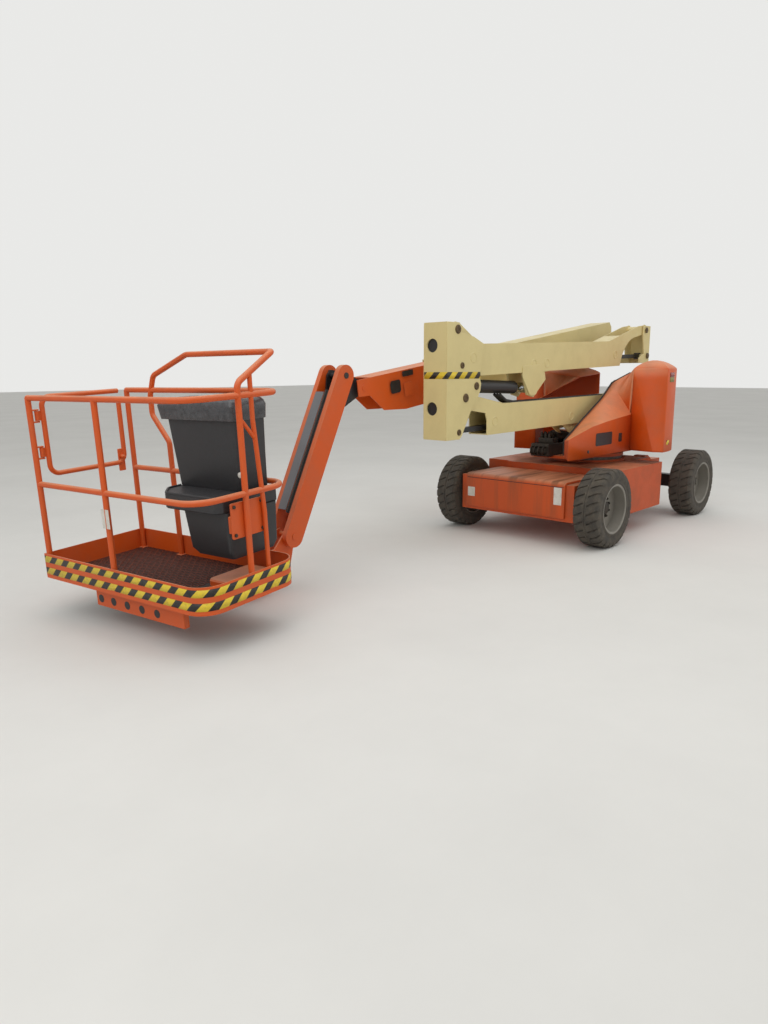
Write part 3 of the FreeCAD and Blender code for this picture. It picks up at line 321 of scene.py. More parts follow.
# moulded polyethylene: near black and waxy, with a grain of 17 mm
PLASTIC = plain("moulded_polyethylene", "29292B", "353537", 0.0, 0.45, 0.62, 60.0, 0.15)
# floor paint: pale and matt, so that only soft shadows show on it
FLOOR_PAINT = plain("pale_floor", "E3E2DE", "DDDCD8", 0.0, 0.8, 0.9, 0.6)
# the pan under the open floor: painted dark, as the painted shade seen through the open floor, so that the
# floor's mesh stands out
FLOOR_PAN_SHADE = plain("floor_pan_painted_shade", "33201A", "241814", 0.0, 0.6, 0.8, 40.0, 0.1)
# worn primer on the open floor: brick red, rubbed to brown by boots
MESH_PAINT = plain("worn_red_primer", "8E4A34", "5F3226", 0.0, 0.5, 0.7, 30.0, 0.1)
# rubber of hoses, seals and edge trims: black with a soft sheen
RUBBER_TRIM = plain("rubber_trim", "211F1D", "34312D", 0.0, 0.6, 0.8, 30.0)
# steel under old grease: nearly black, with small wet glints
GREASED = plain("greased_steel", "2E2A26", "4D453C", 0.5, 0.35, 0.6, 35.0, 0.1)
# bronze pin caps gone brown
BRONZE = plain("dirty_bronze_cap", "6A5434", "3B3022", 0.4, 0.4, 0.65, 40.0, 0.1)
# printed plates left blank, white and black: smoother than the paint about them; the black one also serves as
# painted shade inside holes and windows
BLANK_WHITE = plain("blank_white_plate", "D9D6CE", "C4BFB4", 0.0, 0.45, 0.6, 20.0)
BLACK_PLATE_AND_HOLE_SHADE = plain("black_plate_and_hole_shade", "19191A", "26262A", 0.0, 0.4, 0.55, 20.0)
# the reflector on the hood: smooth, dark red, with the sharpest glint; and the film under it
REFLECTOR = plain("red_reflector", "8E1F1B", "6E1613", 0.0, 0.15, 0.3, 60.0)
OLIVE = plain("olive_film", "8A7F2C", "6F6622", 0.0, 0.3, 0.5, 60.0)
# clear film over plastic: the black looks grey, wrinkled every 30 mm and shiny
FILM = plain("film_over_plastic", "505154", "333437", 0.0, 0.16, 0.4, 34.0, 0.7)
floor_mesh.materials.append(FLOOR_PAINT)
print("finishes so far:", len(bpy.data.materials))

# %% [markdown]
# ## The hall's own light
# The world lights the machine weakly and shows itself pale: the camera, mirrors and glass see a
# brighter world than the one that lights the shadows.

# %% World
LIGHTS_WITH, SHOWS_AS = 0.62, 0.92
world = bpy.data.worlds.new("hall")
bpy.context.scene.world = world
world.use_nodes = True
air = world.node_tree
background = air.nodes["Background"]
background.inputs["Color"].default_value = linear("F2F2F0")
ray = add(air, "ShaderNodeLightPath").outputs
seen = worked(air, "MAXIMUM", ray["Is Camera Ray"], ray["Is Glossy Ray"])
seen = worked(air, "MAXIMUM", seen, ray["Is Transmission Ray"])
air.links.new(steps(air, seen, 0.0, 1.0, LIGHTS_WITH, SHOWS_AS), background.inputs["Strength"])
print("the world lights with", LIGHTS_WITH, "and shows as", SHOWS_AS)

# %% [markdown]
# ## Which piece has which finish
# Paint follows the real machine: the chassis, hoods, fly, jib and platform are orange, the tower
# and the boom's base are cream, and cylinders and linkages are black.

# %% Finishes on the CAD nodes
FINISH = {
    CHASSIS: ["chassis_frame", "drive_end_cover", "battery_box"],
    ORANGE: ["turntable_frame", "hood", "fly_boom", "jib_arms",
             "platform_support", "platform_mount", "toe_board", "platform_rails", "side_gate"],
    CREAM: ["lower_tower_boom", "upper_tower_boom", "mid_upright", "rear_upright", "main_boom_base"],
    BLACK: ["lower_tower_link", "upper_tower_link", "jib_knuckle", "jib_link", "barrel",
            "counterweight", "battery_pack", "steer_axle", "steer_knuckle"],
    GREY: ["rim", "drive_hub"],
    RUBBER: ["tyre"],
    CHROME: ["_rod"],
    STEEL: ["slew_bearing"],
    PLASTIC: ["control_console"],
    # the floor pan is painted dark as the shade under the open floor
    FLOOR_PAN_SHADE: ["platform_floor"],
}


def finish_of(node):
    """The finish whose list holds a part of the node's name; longer matches win."""
    found = [(len(word), material) for material, words in FINISH.items() for word in words if word in node]
    return max(found, key=lambda pair: pair[0])[1]


for name, thing in NODES.items():
    thing.data.materials.clear()
    thing.data.materials.append(finish_of(name))
print({material.name: sum(finish_of(name) == material for name in NODES) for material in FINISH})

# %% [markdown]
# ## Warning tape's finish
# Warning tape is printed vinyl with a low gloss. The stripes are worked out: the length along the
# tape less the height, over the pitch; what is left of the whole number says black or yellow. Dirt
# and scuffs from boots break it up.

# %% Tape finish
STRIPE_PITCH, DARK_SHARE = 0.13, 0.47


def striped(name, pitch, dark_share):
    """Dark where the fraction of (U - V) / pitch is under the dark share, else yellow, scuffed."""
    made, tree, out, coords = new_material(name)
    uv = add(tree, "ShaderNodeSeparateXYZ", _0=add(tree, "ShaderNodeTexCoord").outputs["UV"]).outputs
    turns = worked(tree, "DIVIDE", worked(tree, "SUBTRACT", uv["X"], uv["Y"]), pitch)
    dark = worked(tree, "LESS_THAN", worked(tree, "FRACT", turns), dark_share)
    dirt = noise(tree, coords, 45.0, 5.0, 0.7)
    colour = mixed(tree, dark, linear("E2C42E"), linear("1B1A18"))
    colour = mixed(tree, steps(tree, dirt, 0.5, 0.78, 0.0, 0.45), colour, linear("6D6353"))
    surface(tree, out, Base_Color=colour, Roughness=steps(tree, dirt, 0.3, 0.7, 0.4, 0.6))
    return made


# black and yellow vinyl, dulled by brown scuffs 22 mm across
TAPE = striped("warning_tape", STRIPE_PITCH, DARK_SHARE)
print("stripes repeat every", round(1000 * STRIPE_PITCH), "mm")

# %% [markdown]
# ## Shapes worked out as arrays
# Every added piece is a grid of points: a closed outline carried along a path, or turned about an
# axis. A few helpers turn such grids into meshes. Corners are rounded by one formula that serves
# plates seen from the side and tubes bent in space alike.

# %% Shape helpers
SEAM = 0.0004  # points of an open shape that are nearer than this, in metres, become one


def bend(path, radius, closed=False, steps=7):
    """Rounds a path's corners. Each arc runs between the two points where it touches the path's
    legs, as a curve weighted by the sine of half the corner, which is an exact circle."""
    path = np.asarray(path, float)
    corner = path if closed else path[1:-1]
    before, after = (np.roll(path, 1, 0), np.roll(path, -1, 0)) if closed else (path[:-2], path[2:])
    back = (before - corner) / np.linalg.norm(before - corner, axis=1)[:, None]
    on = (after - corner) / np.linalg.norm(after - corner, axis=1)[:, None]
    half = np.arccos(np.clip((back * on).sum(1), -1, 1)) / 2
    run = np.broadcast_to(np.asarray(radius, float), half.shape) / np.tan(half)
    start, end = corner + back * run[:, None], corner + on * run[:, None]
    s = np.linspace(0, 1, steps)[None, :, None]
    lift = 2 * np.sin(half)[:, None, None] * s * (1 - s)
    arcs = ((1 - s) ** 2 * start[:, None] + lift * corner[:, None] + s ** 2 * end[:, None])
    arcs = (arcs / ((1 - s) ** 2 + lift + s ** 2)).reshape(-1, path.shape[1])
    return arcs if closed else np.vstack([path[:1], arcs, path[-1:]])


def quads(rows, columns, wrap_rows=False, wrap_columns=False):
    """The faces of a grid: each joins a point with the next in its row, its column and both."""
    i = np.arange(rows if wrap_rows else rows - 1)[:, None]
    j = np.arange(columns if wrap_columns else columns - 1)[None, :]
    below, beside = (i + 1) % rows * columns, (j + 1) % columns
    corners = [i * columns + j, i * columns + beside, below + beside, below + j]
    return np.stack(corners, -1).reshape(-1, 4).tolist()


def skin(rings):
    """A stack of closed outlines joined up, with its two ends closed."""
    rows, columns = rings.shape[:2]
    last = (rows - 1) * columns
    return rings.reshape(-1, 3), quads(rows, columns, wrap_columns=True) + [
        list(range(columns)), list(range(last, last + columns))]


def level(line, z):
    """A line of points in plan, all given one height."""
    return np.column_stack([line, np.full(len(line), z)])


def plate(outline, low, high, across="y", bevel=2.0, radius=1.0):
    """An outline given a thickness: four copies stacked, the outer two drawn in by the bevel along
    each point's own inward normal. across is the direction of the thickness."""
    flat = bend(outline, radius, closed=True)
    along = np.roll(flat, -1, 0) - np.roll(flat, 1, 0)
    length = np.maximum(np.linalg.norm(along, axis=1), 1e-9)
    inward = np.column_stack([-along[:, 1], along[:, 0]]) / length[:, None]
    turns = np.sum(flat[:, 0] * np.roll(flat[:, 1], -1) - flat[:, 1] * np.roll(flat[:, 0], -1))
    small = flat + inward * bevel * np.sign(turns)
    rings = np.array([level(small, low), level(flat, low + bevel), level(flat, high - bevel),
                      level(small, high)])
    return skin(rings[..., {"x": (2, 0, 1), "y": (0, 2, 1), "z": (0, 1, 2)}[across]])


def rectangle(low, high):
    """A rectangle's four corners from its two opposite ones."""
    return [(low[0], low[1]), (high[0], low[1]), (high[0], high[1]), (low[0], high[1])]


def tube(path, radius, sides=12):
    """A circle carried along a path: at each point it lies square to the path's direction."""
    path = np.asarray(path, float)
    ahead = np.gradient(path, axis=0)
    aside = np.cross(ahead, (0.31, 0.52, 0.79))  # a direction that no tube here runs in
    aside /= np.linalg.norm(aside, axis=1)[:, None]
    third = np.cross(ahead, aside)
    third /= np.linalg.norm(third, axis=1)[:, None]
    turn = np.linspace(0, 2 * np.pi, sides, endpoint=False)[None, :, None]
    return skin(path[:, None] + radius * (np.cos(turn) * aside[:, None] + np.sin(turn) * third[:, None]))


def turned(profile, centre, axis="y", sides=32, side=1):
    """A profile of (radius, height) turned about an axis: radius times cosine and sine across it."""
    profile = np.asarray(profile, float)
    turn = np.linspace(0, 2 * np.pi, sides, endpoint=False)[None, :]
    radius, height = profile[:, :1], profile[:, 1:] * side
    a, b, c = radius * np.cos(turn), radius * np.sin(turn), height + 0 * turn
    rings = np.stack({"x": (c, a, b), "y": (a, c, b), "z": (a, b, c)}[axis], -1)
    return skin(rings + np.asarray(centre, float))


def put(name, shapes, material, body, seat_at, replaces=(), smooth=30, closed=True, forwards=False):
    """Joins shapes into one mesh in the frame, on a body of the machine. Its faces are turned
    outwards: away from its middle if it is open, and ahead if it is a sheet that faces forwards."""
    points = np.vstack([shape[0] for shape in shapes])
    starts = np.cumsum([0] + [len(shape[0]) for shape in shapes])
    faces = [[index + start for index in face] for shape, start in zip(shapes, starts) for face in shape[1]]
    mesh = bpy.data.meshes.new(name)
    mesh.from_pydata(seat_at(points).tolist(), [], faces)
    work = bmesh.new()
    work.from_mesh(mesh)
    if not closed:
        bmesh.ops.remove_doubles(work, verts=work.verts, dist=SEAM)
    bmesh.ops.recalc_face_normals(work, faces=work.faces)
    outward = 1.0
    if forwards:
        work.faces.ensure_lookup_table()
        outward = work.faces[0].normal.x
    elif not closed:
        middle = Vector(seat_at(points).mean(0))
        outward = sum((face.calc_center_median() - middle).dot(face.normal) * face.calc_area()
                      for face in work.faces)
    if outward < 0:
        bmesh.ops.reverse_faces(work, faces=work.faces)
    work.to_mesh(mesh)
    work.free()
    mesh.shade_smooth()
    mesh.set_sharp_from_angle(angle=math.radians(smooth))
    mesh.materials.append(material)
    made = bpy.data.objects.new(name, mesh)
    bpy.context.collection.objects.link(made)
    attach(made, body)
    if replaces:
        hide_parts(*replaces)
    return made


def thicken(made, depth, offset=-1, even=False):
    """Gives a sheet its thickness in metres: inwards, or to both sides with an offset of 0."""
    wall = made.modifiers.new("wall", "SOLIDIFY")
    wall.thickness, wall.offset, wall.use_even_offset = depth, offset, even
    return made


def told(*pieces):
    """Prints each new piece's number of points, and its size along, across and up."""
    for piece in pieces:
        spots = np.empty(3 * len(piece.data.vertices), np.float32)
        piece.data.vertices.foreach_get("co", spots)
        size = (np.ptp(spots.reshape(-1, 3), axis=0) * 1000).round().astype(int).tolist()
        print(f"{piece.name}: {len(piece.data.vertices)} points, {size} mm")


print("a corner of 100 mm bent to 40 mm has", len(bend([(0, 100), (0, 0), (100, 0)], 40)), "points")

# %% [markdown]
# ## Places on the moving pieces
# A boom is easiest to dress in its own directions: along it, across it and square to its top. Each
# seat below starts at a joint of the frame and tips by the angle at which that piece is parked.

# %% Seats
JOINT = {joint["name"]: np.array(joint.get("pos_m") or (0, 0, 0), float)
         for joint in frame["record"]["behaviour"]["joints"]}
BOOM_PITCH, JIB_PITCH, PLATFORM_PITCH, PLATFORM_YAW = 8.2, 64.7, 2.6, 8
JIB_LENGTH = 1240


def seat(origin, pitch=0.0, yaw=0.0):
    """Turns a piece's own millimetres into the frame's metres: first a yaw about its up, then a
    nose-down pitch about its left."""
    p, w = math.radians(pitch), math.radians(yaw)
    tip = np.array([[math.cos(p), 0, math.sin(p)], [0, 1, 0], [-math.sin(p), 0, math.cos(p)]])
    swing = np.array([[math.cos(w), -math.sin(w), 0], [math.sin(w), math.cos(w), 0], [0, 0, 1]])
    return lambda points: origin + np.asarray(points, float) @ (tip @ swing).T / 1000


ON_MACHINE = seat(place(0, 0, 0))
ON_BOOM = seat(JOINT["boom_lift"], pitch=BOOM_PITCH)
ON_JIB = seat(JOINT["jib_lift"], pitch=JIB_PITCH)
ON_PLATFORM = seat(JOINT["platform_turn"], pitch=PLATFORM_PITCH, yaw=PLATFORM_YAW)
print("jib's far pin:", ON_JIB([[JIB_LENGTH, 0, 0]]).round(3))

# %% [markdown]
# ## Tyres
# Solid industrial tyres have deep diagonal grooves cut in from both shoulders, half a pitch apart,
# so that they meet in a zigzag. A smooth tyre can't be grooved with a picture, so the whole tyre is
# worked out as one surface: the grid leans with the grooves, and its columns fall on their edges.

# %% Tyres
GROOVES, GROOVE_DEPTH, LEAN = 27, 12.0, 0.5
AXLE, WHEEL_RADIUS, TYRE_MIDDLE = 1022, 350, 755.0
CROWN_HALF = 5  # the two halves of the tread pass into each other over this much each way
# across the tyre from its middle, radius, and how much of the groove's depth is cut there
SECTION = np.array([
    (-119, 222.6, 0), (-120, 236, 0), (-117, 243, 0), (-117, 262, 0), (-120, 268, 0), (-120, 292, 0),
    (-120, 304, 1), (-112, 331, 1), (-92, 350, 1), (-60, 350, 1), (-22, 350, 1), (-17, 350, 0),
    (-5, 350, 0), (-2, 345, 0), (2, 345, 0), (5, 350, 0), (17, 350, 0), (22, 350, 1), (60, 350, 1),
    (92, 350, 1), (112, 331, 1), (120, 304, 1), (120, 292, 0), (120, 268, 0), (117, 262, 0),
    (117, 243, 0), (120, 236, 0), (119, 222.6, 0)])
# within one pitch: where the columns fall, and whether each is at the groove's foot
EDGES = np.array([(0.0, 0), (0.05, 1), (0.20, 1), (0.25, 0), (0.44, 0), (0.63, 0), (0.82, 0)])
WHEELS = [(f"{axle}_wheel_{hand}", f"{axle}_tyre_{hand}", x, side)
          for axle, x in (("drive", AXLE), ("steer", -AXLE)) for hand, side in (("left", 1), ("right", -1))]


def tyre(node, centre_x, side, body):
    """Angle = column + lean times the distance across + half a pitch past the middle; radius = the
    section's, less the groove's depth where both the column and the section say so."""
    pitch = 2 * np.pi / GROOVES
    columns = ((np.arange(GROOVES)[:, None] + EDGES[None, :, 0]) * pitch).ravel()
    foot = np.tile(EDGES[:, 1], GROOVES)
    across, radius, cut = SECTION[:, 0][:, None], SECTION[:, 1][:, None], SECTION[:, 2][:, None]
    stagger = np.clip((across + CROWN_HALF) / (2 * CROWN_HALF), 0, 1) * pitch / 2
    angle = columns[None, :] + LEAN * across / WHEEL_RADIUS + stagger
    reach = radius - GROOVE_DEPTH * cut * foot[None, :]
    points = np.stack([centre_x + reach * np.cos(angle), TYRE_MIDDLE * side + across + 0 * angle,
                       WHEEL_RADIUS + reach * np.sin(angle)], -1)
    shape = (points.reshape(-1, 3), quads(*angle.shape, wrap_rows=True, wrap_columns=True))
    return put(f"{node}_tread", [shape], RUBBER, body, ON_MACHINE, replaces=[node], smooth=28)


told(*[tyre(node, x, side, body) for body, node, x, side in WHEELS])

# %% [markdown]
# ## Wheel nuts and rims
# The wheel disc sits deep in the rim. Nine nuts hold it, a cap covers the spindle, and a split ring
# locks the tyre at the outer lip. The nuts are one short mesh: a six-sided prism copied round.

# %% Wheel nuts and rims
NUTS, NUT_CIRCLE, DISC_FACE, LIP_FACE, LIP_SIDES = 9, 88, 759, 858, 64
# profiles as (radius, height) from the disc or the lip outwards
NUT, STUD = [(14, 0), (14, 12), (11, 15)], [(7, 0), (7, 22)]
SPINDLE_CAP = [(60, 0), (60, 10), (52, 30), (30, 37), (4, 38)]
LOCK_RING = [(203, 0), (214, 0), (219, 4), (221, 10), (214, 14), (204, 11)]


def round_wheel(profile, sides, x, side):
    """A small turned shape copied round the wheel's axis, at equal angles on the nuts' circle."""
    turns = np.arange(NUTS) * 2 * np.pi / NUTS
    return [turned(profile, (x + NUT_CIRCLE * math.cos(turn), DISC_FACE * side,
                             WHEEL_RADIUS + NUT_CIRCLE * math.sin(turn)), sides=sides, side=side)
            for turn in turns]


for body, node, x, side in WHEELS:
    nuts = round_wheel(NUT, 6, x, side) + round_wheel(STUD, 10, x, side)
    nuts.append(turned(SPINDLE_CAP, (x, DISC_FACE * side, WHEEL_RADIUS), side=side))
    lip = turned(LOCK_RING, (x, LIP_FACE * side, WHEEL_RADIUS), sides=LIP_SIDES, side=side)[0]
    ring = (lip, quads(len(LOCK_RING), LIP_SIDES, True, True))
    told(put(f"{body}_nuts", nuts, GREASED, body, ON_MACHINE),
         put(f"{body}_lock_ring", [ring], GREY, body, ON_MACHINE))

# %% [markdown]
# ## Hoods
# Each hood is a moulded drum over the tail with a rounded cap, and a nose that slopes down beside
# the boom. The CAD hood is plainer, so a new shell stands for it: grids for the drum, the cap, the
# front panel with its slanting crease and the nose, joined at their edges and given a wall inwards.

# %% Hoods
DRUM_BACK, DRUM_RADIUS = 50.0, 840.0
HOOD_FLOOR, HOOD_SIDE, HOOD_INNER, CREASE_X = 760.0, 500.0, 280.0, -404.0
CREASE_DROP = 37.0
# the cap's rings: how far each is drawn in, and how far it lies under the top
CAP = [(0, 87), (6, 74), (35, 52), (80, 28), (130, 9), (185, 0)]
# how much of that the rings' two square corners move, so that the rings don't cross
CREASE_SHARE, SIDE_SHARE = 0.25, 0.59
RIDGE_FOOT, RIDGE_OUT, RIDGE_Y, RIDGE_SLANT = 779, 32, 505, 243
PANEL_ROWS = np.array([HOOD_FLOOR, RIDGE_FOOT, 1000, 1250, 1450])
DRUM_ROWS, NOSE_COLUMNS = 5, 7


def drum_side(inward, inner, count=44):
    """The circle from where it meets the front face round to where it meets the inner side."""
    radius = DRUM_RADIUS - inward
    turn = np.linspace(math.acos((DRUM_BACK - inward) / radius), math.pi - math.asin(inner / radius), count)
    return np.column_stack([-DRUM_BACK + radius * np.cos(turn), radius * np.sin(turn)])


def cap_ring(inward, z):
    """The drum's outline drawn in: two straight corners, then the circle."""
    corners = [(CREASE_X - inward * CREASE_SHARE, HOOD_INNER + inward),
               (-inward, HOOD_SIDE + inward * SIDE_SHARE)]
    return level(np.vstack([corners, drum_side(inward, HOOD_INNER + inward)]), z)


def crease_panel(crease):
    """The flat front: three columns, of which the middle one slants and stands out at its foot."""
    rows = np.append(PANEL_ROWS, crease)
    share = np.clip((crease - rows) / (crease - RIDGE_FOOT), 0, 1)
    ridge = np.column_stack([RIDGE_OUT * share, RIDGE_Y + RIDGE_SLANT * share, rows])
    inner = np.column_stack([0 * rows, np.full_like(rows, HOOD_SIDE), rows])
    outer = np.column_stack([0 * rows, np.full_like(rows, drum_side(0, HOOD_INNER)[0, 1]), rows])
    return np.stack([inner, ridge, outer], 1).reshape(-1, 3), quads(len(rows), 3)


def hood(name, side, top, inner_nose, outer_nose):
    """Cap: rings drawn in and raised; drum: one ring carried up; nose: a straight blend between
    the profile beside the boom and the profile at the side."""
    crease = top - CAP[0][1]
    low_corner = crease - CREASE_DROP
    insets = [inward for inward, down in CAP]
    rings = np.array([cap_ring(inward, top - down) for inward, down in CAP])
    rings[:, 0, 2] = np.interp(insets, [0, insets[-1]], [low_corner, top])
    rows, columns = rings.shape[:2]
    lid = list(range((rows - 1) * columns, rows * columns))
    cap = rings.reshape(-1, 3), quads(rows, columns, wrap_columns=True) + [lid]
    around = drum_side(0, HOOD_INNER)
    drum = np.array([level(around, z) for z in np.linspace(HOOD_FLOOR, crease, DRUM_ROWS)])
    inner_end, outer_end = [np.array([(x, y, z) for x, z in line], float) for line, y in (
        (inner_nose + [(CREASE_X, low_corner)], HOOD_INNER), (outer_nose + [(0, crease)], HOOD_SIDE))]
    blend = np.linspace(0, 1, NOSE_COLUMNS)[None, :, None]
    nose = inner_end[:, None] * (1 - blend) + outer_end[:, None] * blend
    flank = np.vstack([outer_end[:-1], [(0, HOOD_SIDE, HOOD_FLOOR)]])
    shapes = [cap, (drum.reshape(-1, 3), quads(DRUM_ROWS, len(around))),
              (nose.reshape(-1, 3), quads(len(inner_end), NOSE_COLUMNS)), (flank, [list(range(len(flank)))])]
    mirrored = [(points * (1, side, 1), faces) for points, faces in shapes]
    shell = put(f"{name}_shell", mirrored, ORANGE, name, ON_MACHINE, replaces=[name], smooth=34, closed=False)
    front, faces = crease_panel(crease)
    faces = faces if side > 0 else [face[::-1] for face in faces]
    panel = put(f"{name}_front", [(front * (1, side, 1), faces)], ORANGE, name, ON_MACHINE, smooth=3,
                closed=False, forwards=True)
    told(thicken(shell, 0.007, even=True), thicken(panel, 0.004))


# the two profiles of each nose, as (x, z) from its foot up to the drum
hood("hood_left", 1, 1640, [(900, 760), (900, 905), (570, 1088), (215, 1266), (0, 1420)],
     [(1215, 760), (1215, 950), (780, 1040), (480, 1075), (0, 1118)])
hood("hood_right", -1, 1600, [(500, 760), (500, 1232), (440, 1270), (320, 1300), (0, 1385)],
     [(540, 760), (540, 1150), (460, 1180), (320, 1200), (0, 1240)])

# %% [markdown]
# ## The left hood's small parts
# A rubber strip edges the nose beside the boom. On its flat flank are a latch, a blank plate where
# the real hood has a sign, and a button. Thin plates are outlines given a thickness.

# %% Hood fittings
TRIM = [(905, 279, 770), (905, 279, 907), (572, 279, 1092), (217, 279, 1271), (2, 279, 1425), (-400, 279, 1519)]
sign = plate(rectangle((392, 852), (716, 972)), 500.2, 502.2, bevel=0.6, radius=18)
told(put("hood_left_trim", [tube(bend(TRIM, 20), 7)], RUBBER_TRIM, "hood_left", ON_MACHINE),
     put("hood_left_latch", [plate(rectangle((188, 862), (250, 946)), 500, 506, radius=8)], BLACK,
         "hood_left", ON_MACHINE),
     put("hood_left_blank_plate", [sign], BLACK_PLATE_AND_HOLE_SHADE, "hood_left", ON_MACHINE),
     put("hood_left_button", [turned([(15, 0), (15, 4), (9, 7)], (855, 500, 813), sides=20)], BLACK,
         "hood_left", ON_MACHINE))

# %% [markdown]
# ## The tower's cheeks, pins and weld marks
# The middle upright is a folded plate box. Its two cheeks reach back over the boom ends, and the
# pins pass through them with greasy caps. Where a tube passes through a boom's side, it is welded
# in, and the weld shows as a raised ring.

# %% Cheeks, pins and welds
CHEEK = [(2400, 1020), (2372, 1044), (2261, 1230), (2160, 1350), (2132, 1419), (2143, 1524), (2099, 1760),
         (2234, 1811), (2399, 1843), (2414, 1912), (2570, 1912), (2570, 1020)]
CHEEK_FACE, BOOM_FACE, REAR_FACE = 205, 183, 206
# pins as (x, z, radius) of their caps
PINS = [(2330, 1340, 34), (2440, 1860, 34), (2190, 1430, 30), (2410, 1075, 24), (2380, 1590, 24)]
# a black disc for the inside of each of the upright's holes, as painted shade
REAR_PINS = [(-900, 1970), (-960, 1700)]
HOLE_SHADE_DISC = [(57, 0), (57, 4), (4, 4.2)]
WELD_STEPS, BEAD_STEPS = 48, 8


def weld_ring(x, y, z, radius=36, bead=3.5):
    """A small circle carried round a large one, lying in the boom's side."""
    turn = np.linspace(0, 2 * np.pi, WELD_STEPS, endpoint=False)[:, None]
    bead_turn = np.linspace(0, 2 * np.pi, BEAD_STEPS, endpoint=False)[None, :]
    reach = radius + bead * np.cos(bead_turn)
    points = np.stack([x + reach * np.cos(turn), y + bead * np.sin(bead_turn) + 0 * turn,
                       z + reach * np.sin(turn)], -1)
    return points.reshape(-1, 3), quads(WELD_STEPS, BEAD_STEPS, wrap_rows=True, wrap_columns=True)


cheeks = [plate(CHEEK, *faces, bevel=1.5, radius=12) for faces in ((199.5, 205.5), (-25.5, -19.5))]
told(put("mid_upright_cheeks", cheeks, CREAM, "mid_upright", ON_MACHINE))
for number, (x, z, radius) in enumerate(PINS, 1):
    profile = [(radius, 0), (radius, 5), (radius - 5, 9), (radius * 0.4, 9), (radius * 0.36, 6), (2, 6)]
    cap = turned(profile, (x, CHEEK_FACE, z), sides=36)
    put(f"upright_pin_cap_{number}", [cap], BRONZE, "mid_upright", ON_MACHINE)
# black discs just inside the upright's two holes: painted shade for the holes' dark insides
for number, z in enumerate((1260, 1740), 1):
    disc = turned(HOLE_SHADE_DISC, (2552, 60, z), axis="x", sides=40)
    put(f"upright_hole_back_{number}", [disc], BLACK_PLATE_AND_HOLE_SHADE, "mid_upright", ON_MACHINE)
lower_welds = [weld_ring(x, BOOM_FACE, z) for x, z in ((1890, 1134), (618, 1116))]
upper_welds = [weld_ring(x, BOOM_FACE, z) for x, z in ((1309, 1606), (1097, 1615), (-237, 1703))]
rear_caps = [turned([(30, 0), (30, 6), (24, 10), (3, 10)], (x, REAR_FACE, z), sides=32) for x, z in REAR_PINS]
told(put("upright_weld", [weld_ring(2236, CHEEK_FACE, 1651)], CREAM, "mid_upright", ON_MACHINE),
     put("lower_boom_welds", lower_welds, CREAM, "lower_boom", ON_MACHINE),
     put("upper_boom_welds", upper_welds, CREAM, "upper_boom", ON_MACHINE),
     put("rear_upright_pin_caps", rear_caps, BRONZE, "rear_upright", ON_MACHINE))

# %% [markdown]
# ## Guard rails
# The rails are bent round tube welded to posts. Beside the console a second loop rises above the
# top rail, to guard the controls from branches. A bent tube is a circle carried along a path whose
# corners are arcs; the path is the tube's own centre line.

# %% Guard rails
PIPE, BRACE, GUSSET = 18.0, 14, 11
BACK, AHEAD, LEFT, RIGHT = 327.0, 1039.0, 635.0, -837.0
FLOOR, TOP_RAIL, MID_RAIL = 225, 1355, 815
POSTS = [(BACK, RIGHT), (AHEAD, RIGHT), (AHEAD, -150)]
HOOP = [(684, LEFT, FLOOR), (684, LEFT, 1420), (405, LEFT, 1577), (BACK, 560, 1580), (BACK, 180, 1580),
        (BACK, -180, 1580), (BACK, -530, 1450), (BACK, -580, 1320), (BACK, -580, 1190), (BACK, -430, 1010),
        (BACK, -420, FLOOR)]
HOOP_CORNERS = [60, 45, 60, 60, 90, 60, 60, 60, 60]
LUG_HEIGHTS = (968, 1042, 1198, 1272)


def round_platform(z):
    """One rail's centre line: three sides of the platform, open where the gate is."""
    return bend([(BACK, RIGHT, z), (BACK, LEFT, z), (AHEAD, LEFT, z), (AHEAD, RIGHT, z)], 140, steps=10)


pipes = [tube(round_platform(z), PIPE) for z in (TOP_RAIL, MID_RAIL)]
pipes += [tube([(x, y, FLOOR), (x, y, 800), (x, y, TOP_RAIL)], PIPE) for x, y in POSTS]
pipes += [tube(bend(HOOP, HOOP_CORNERS, steps=9), PIPE),
          tube(bend([(546, LEFT, FLOOR), (546, LEFT, 690), (586, LEFT, 1210), (586, LEFT, 1472)], 60), BRACE),
          tube(bend([(684, LEFT, 1235), (628, LEFT, 1168), (572, LEFT, 1100)], 60), GUSSET)]
feet = [plate(rectangle((x - 26, y - 26), (x + 26, y + 26)), FLOOR + 0.5, FLOOR + 6, across="z", radius=5)
        for x, y in POSTS + [(684, LEFT), (546, LEFT), (BACK, -420)]]
lugs = [plate(rectangle((982, -847), (1034, -827)), z, z + 10, across="z", radius=4) for z in LUG_HEIGHTS]
latch = [plate(rectangle((404, 806), (452, 960)), -843, -831, radius=6),
         turned([(13, 0), (13, 26), (9, 30)], (428, -831, 905), sides=20)]
told(put("platform_rails_bent", pipes + feet + lugs, ORANGE, "platform", ON_PLATFORM,
         replaces=["platform_rails"]),
     put("gate_latch", latch, ORANGE, "gate", ON_PLATFORM))

# %% [markdown]
# ## The control console
# The console is a moulded tub that widens upwards under a deep lid, with a tray in front and a
# narrower foot below, bracketed to the guard loop. Each is a stack of rounded rectangles, so each
# is one skin over a few outlines.

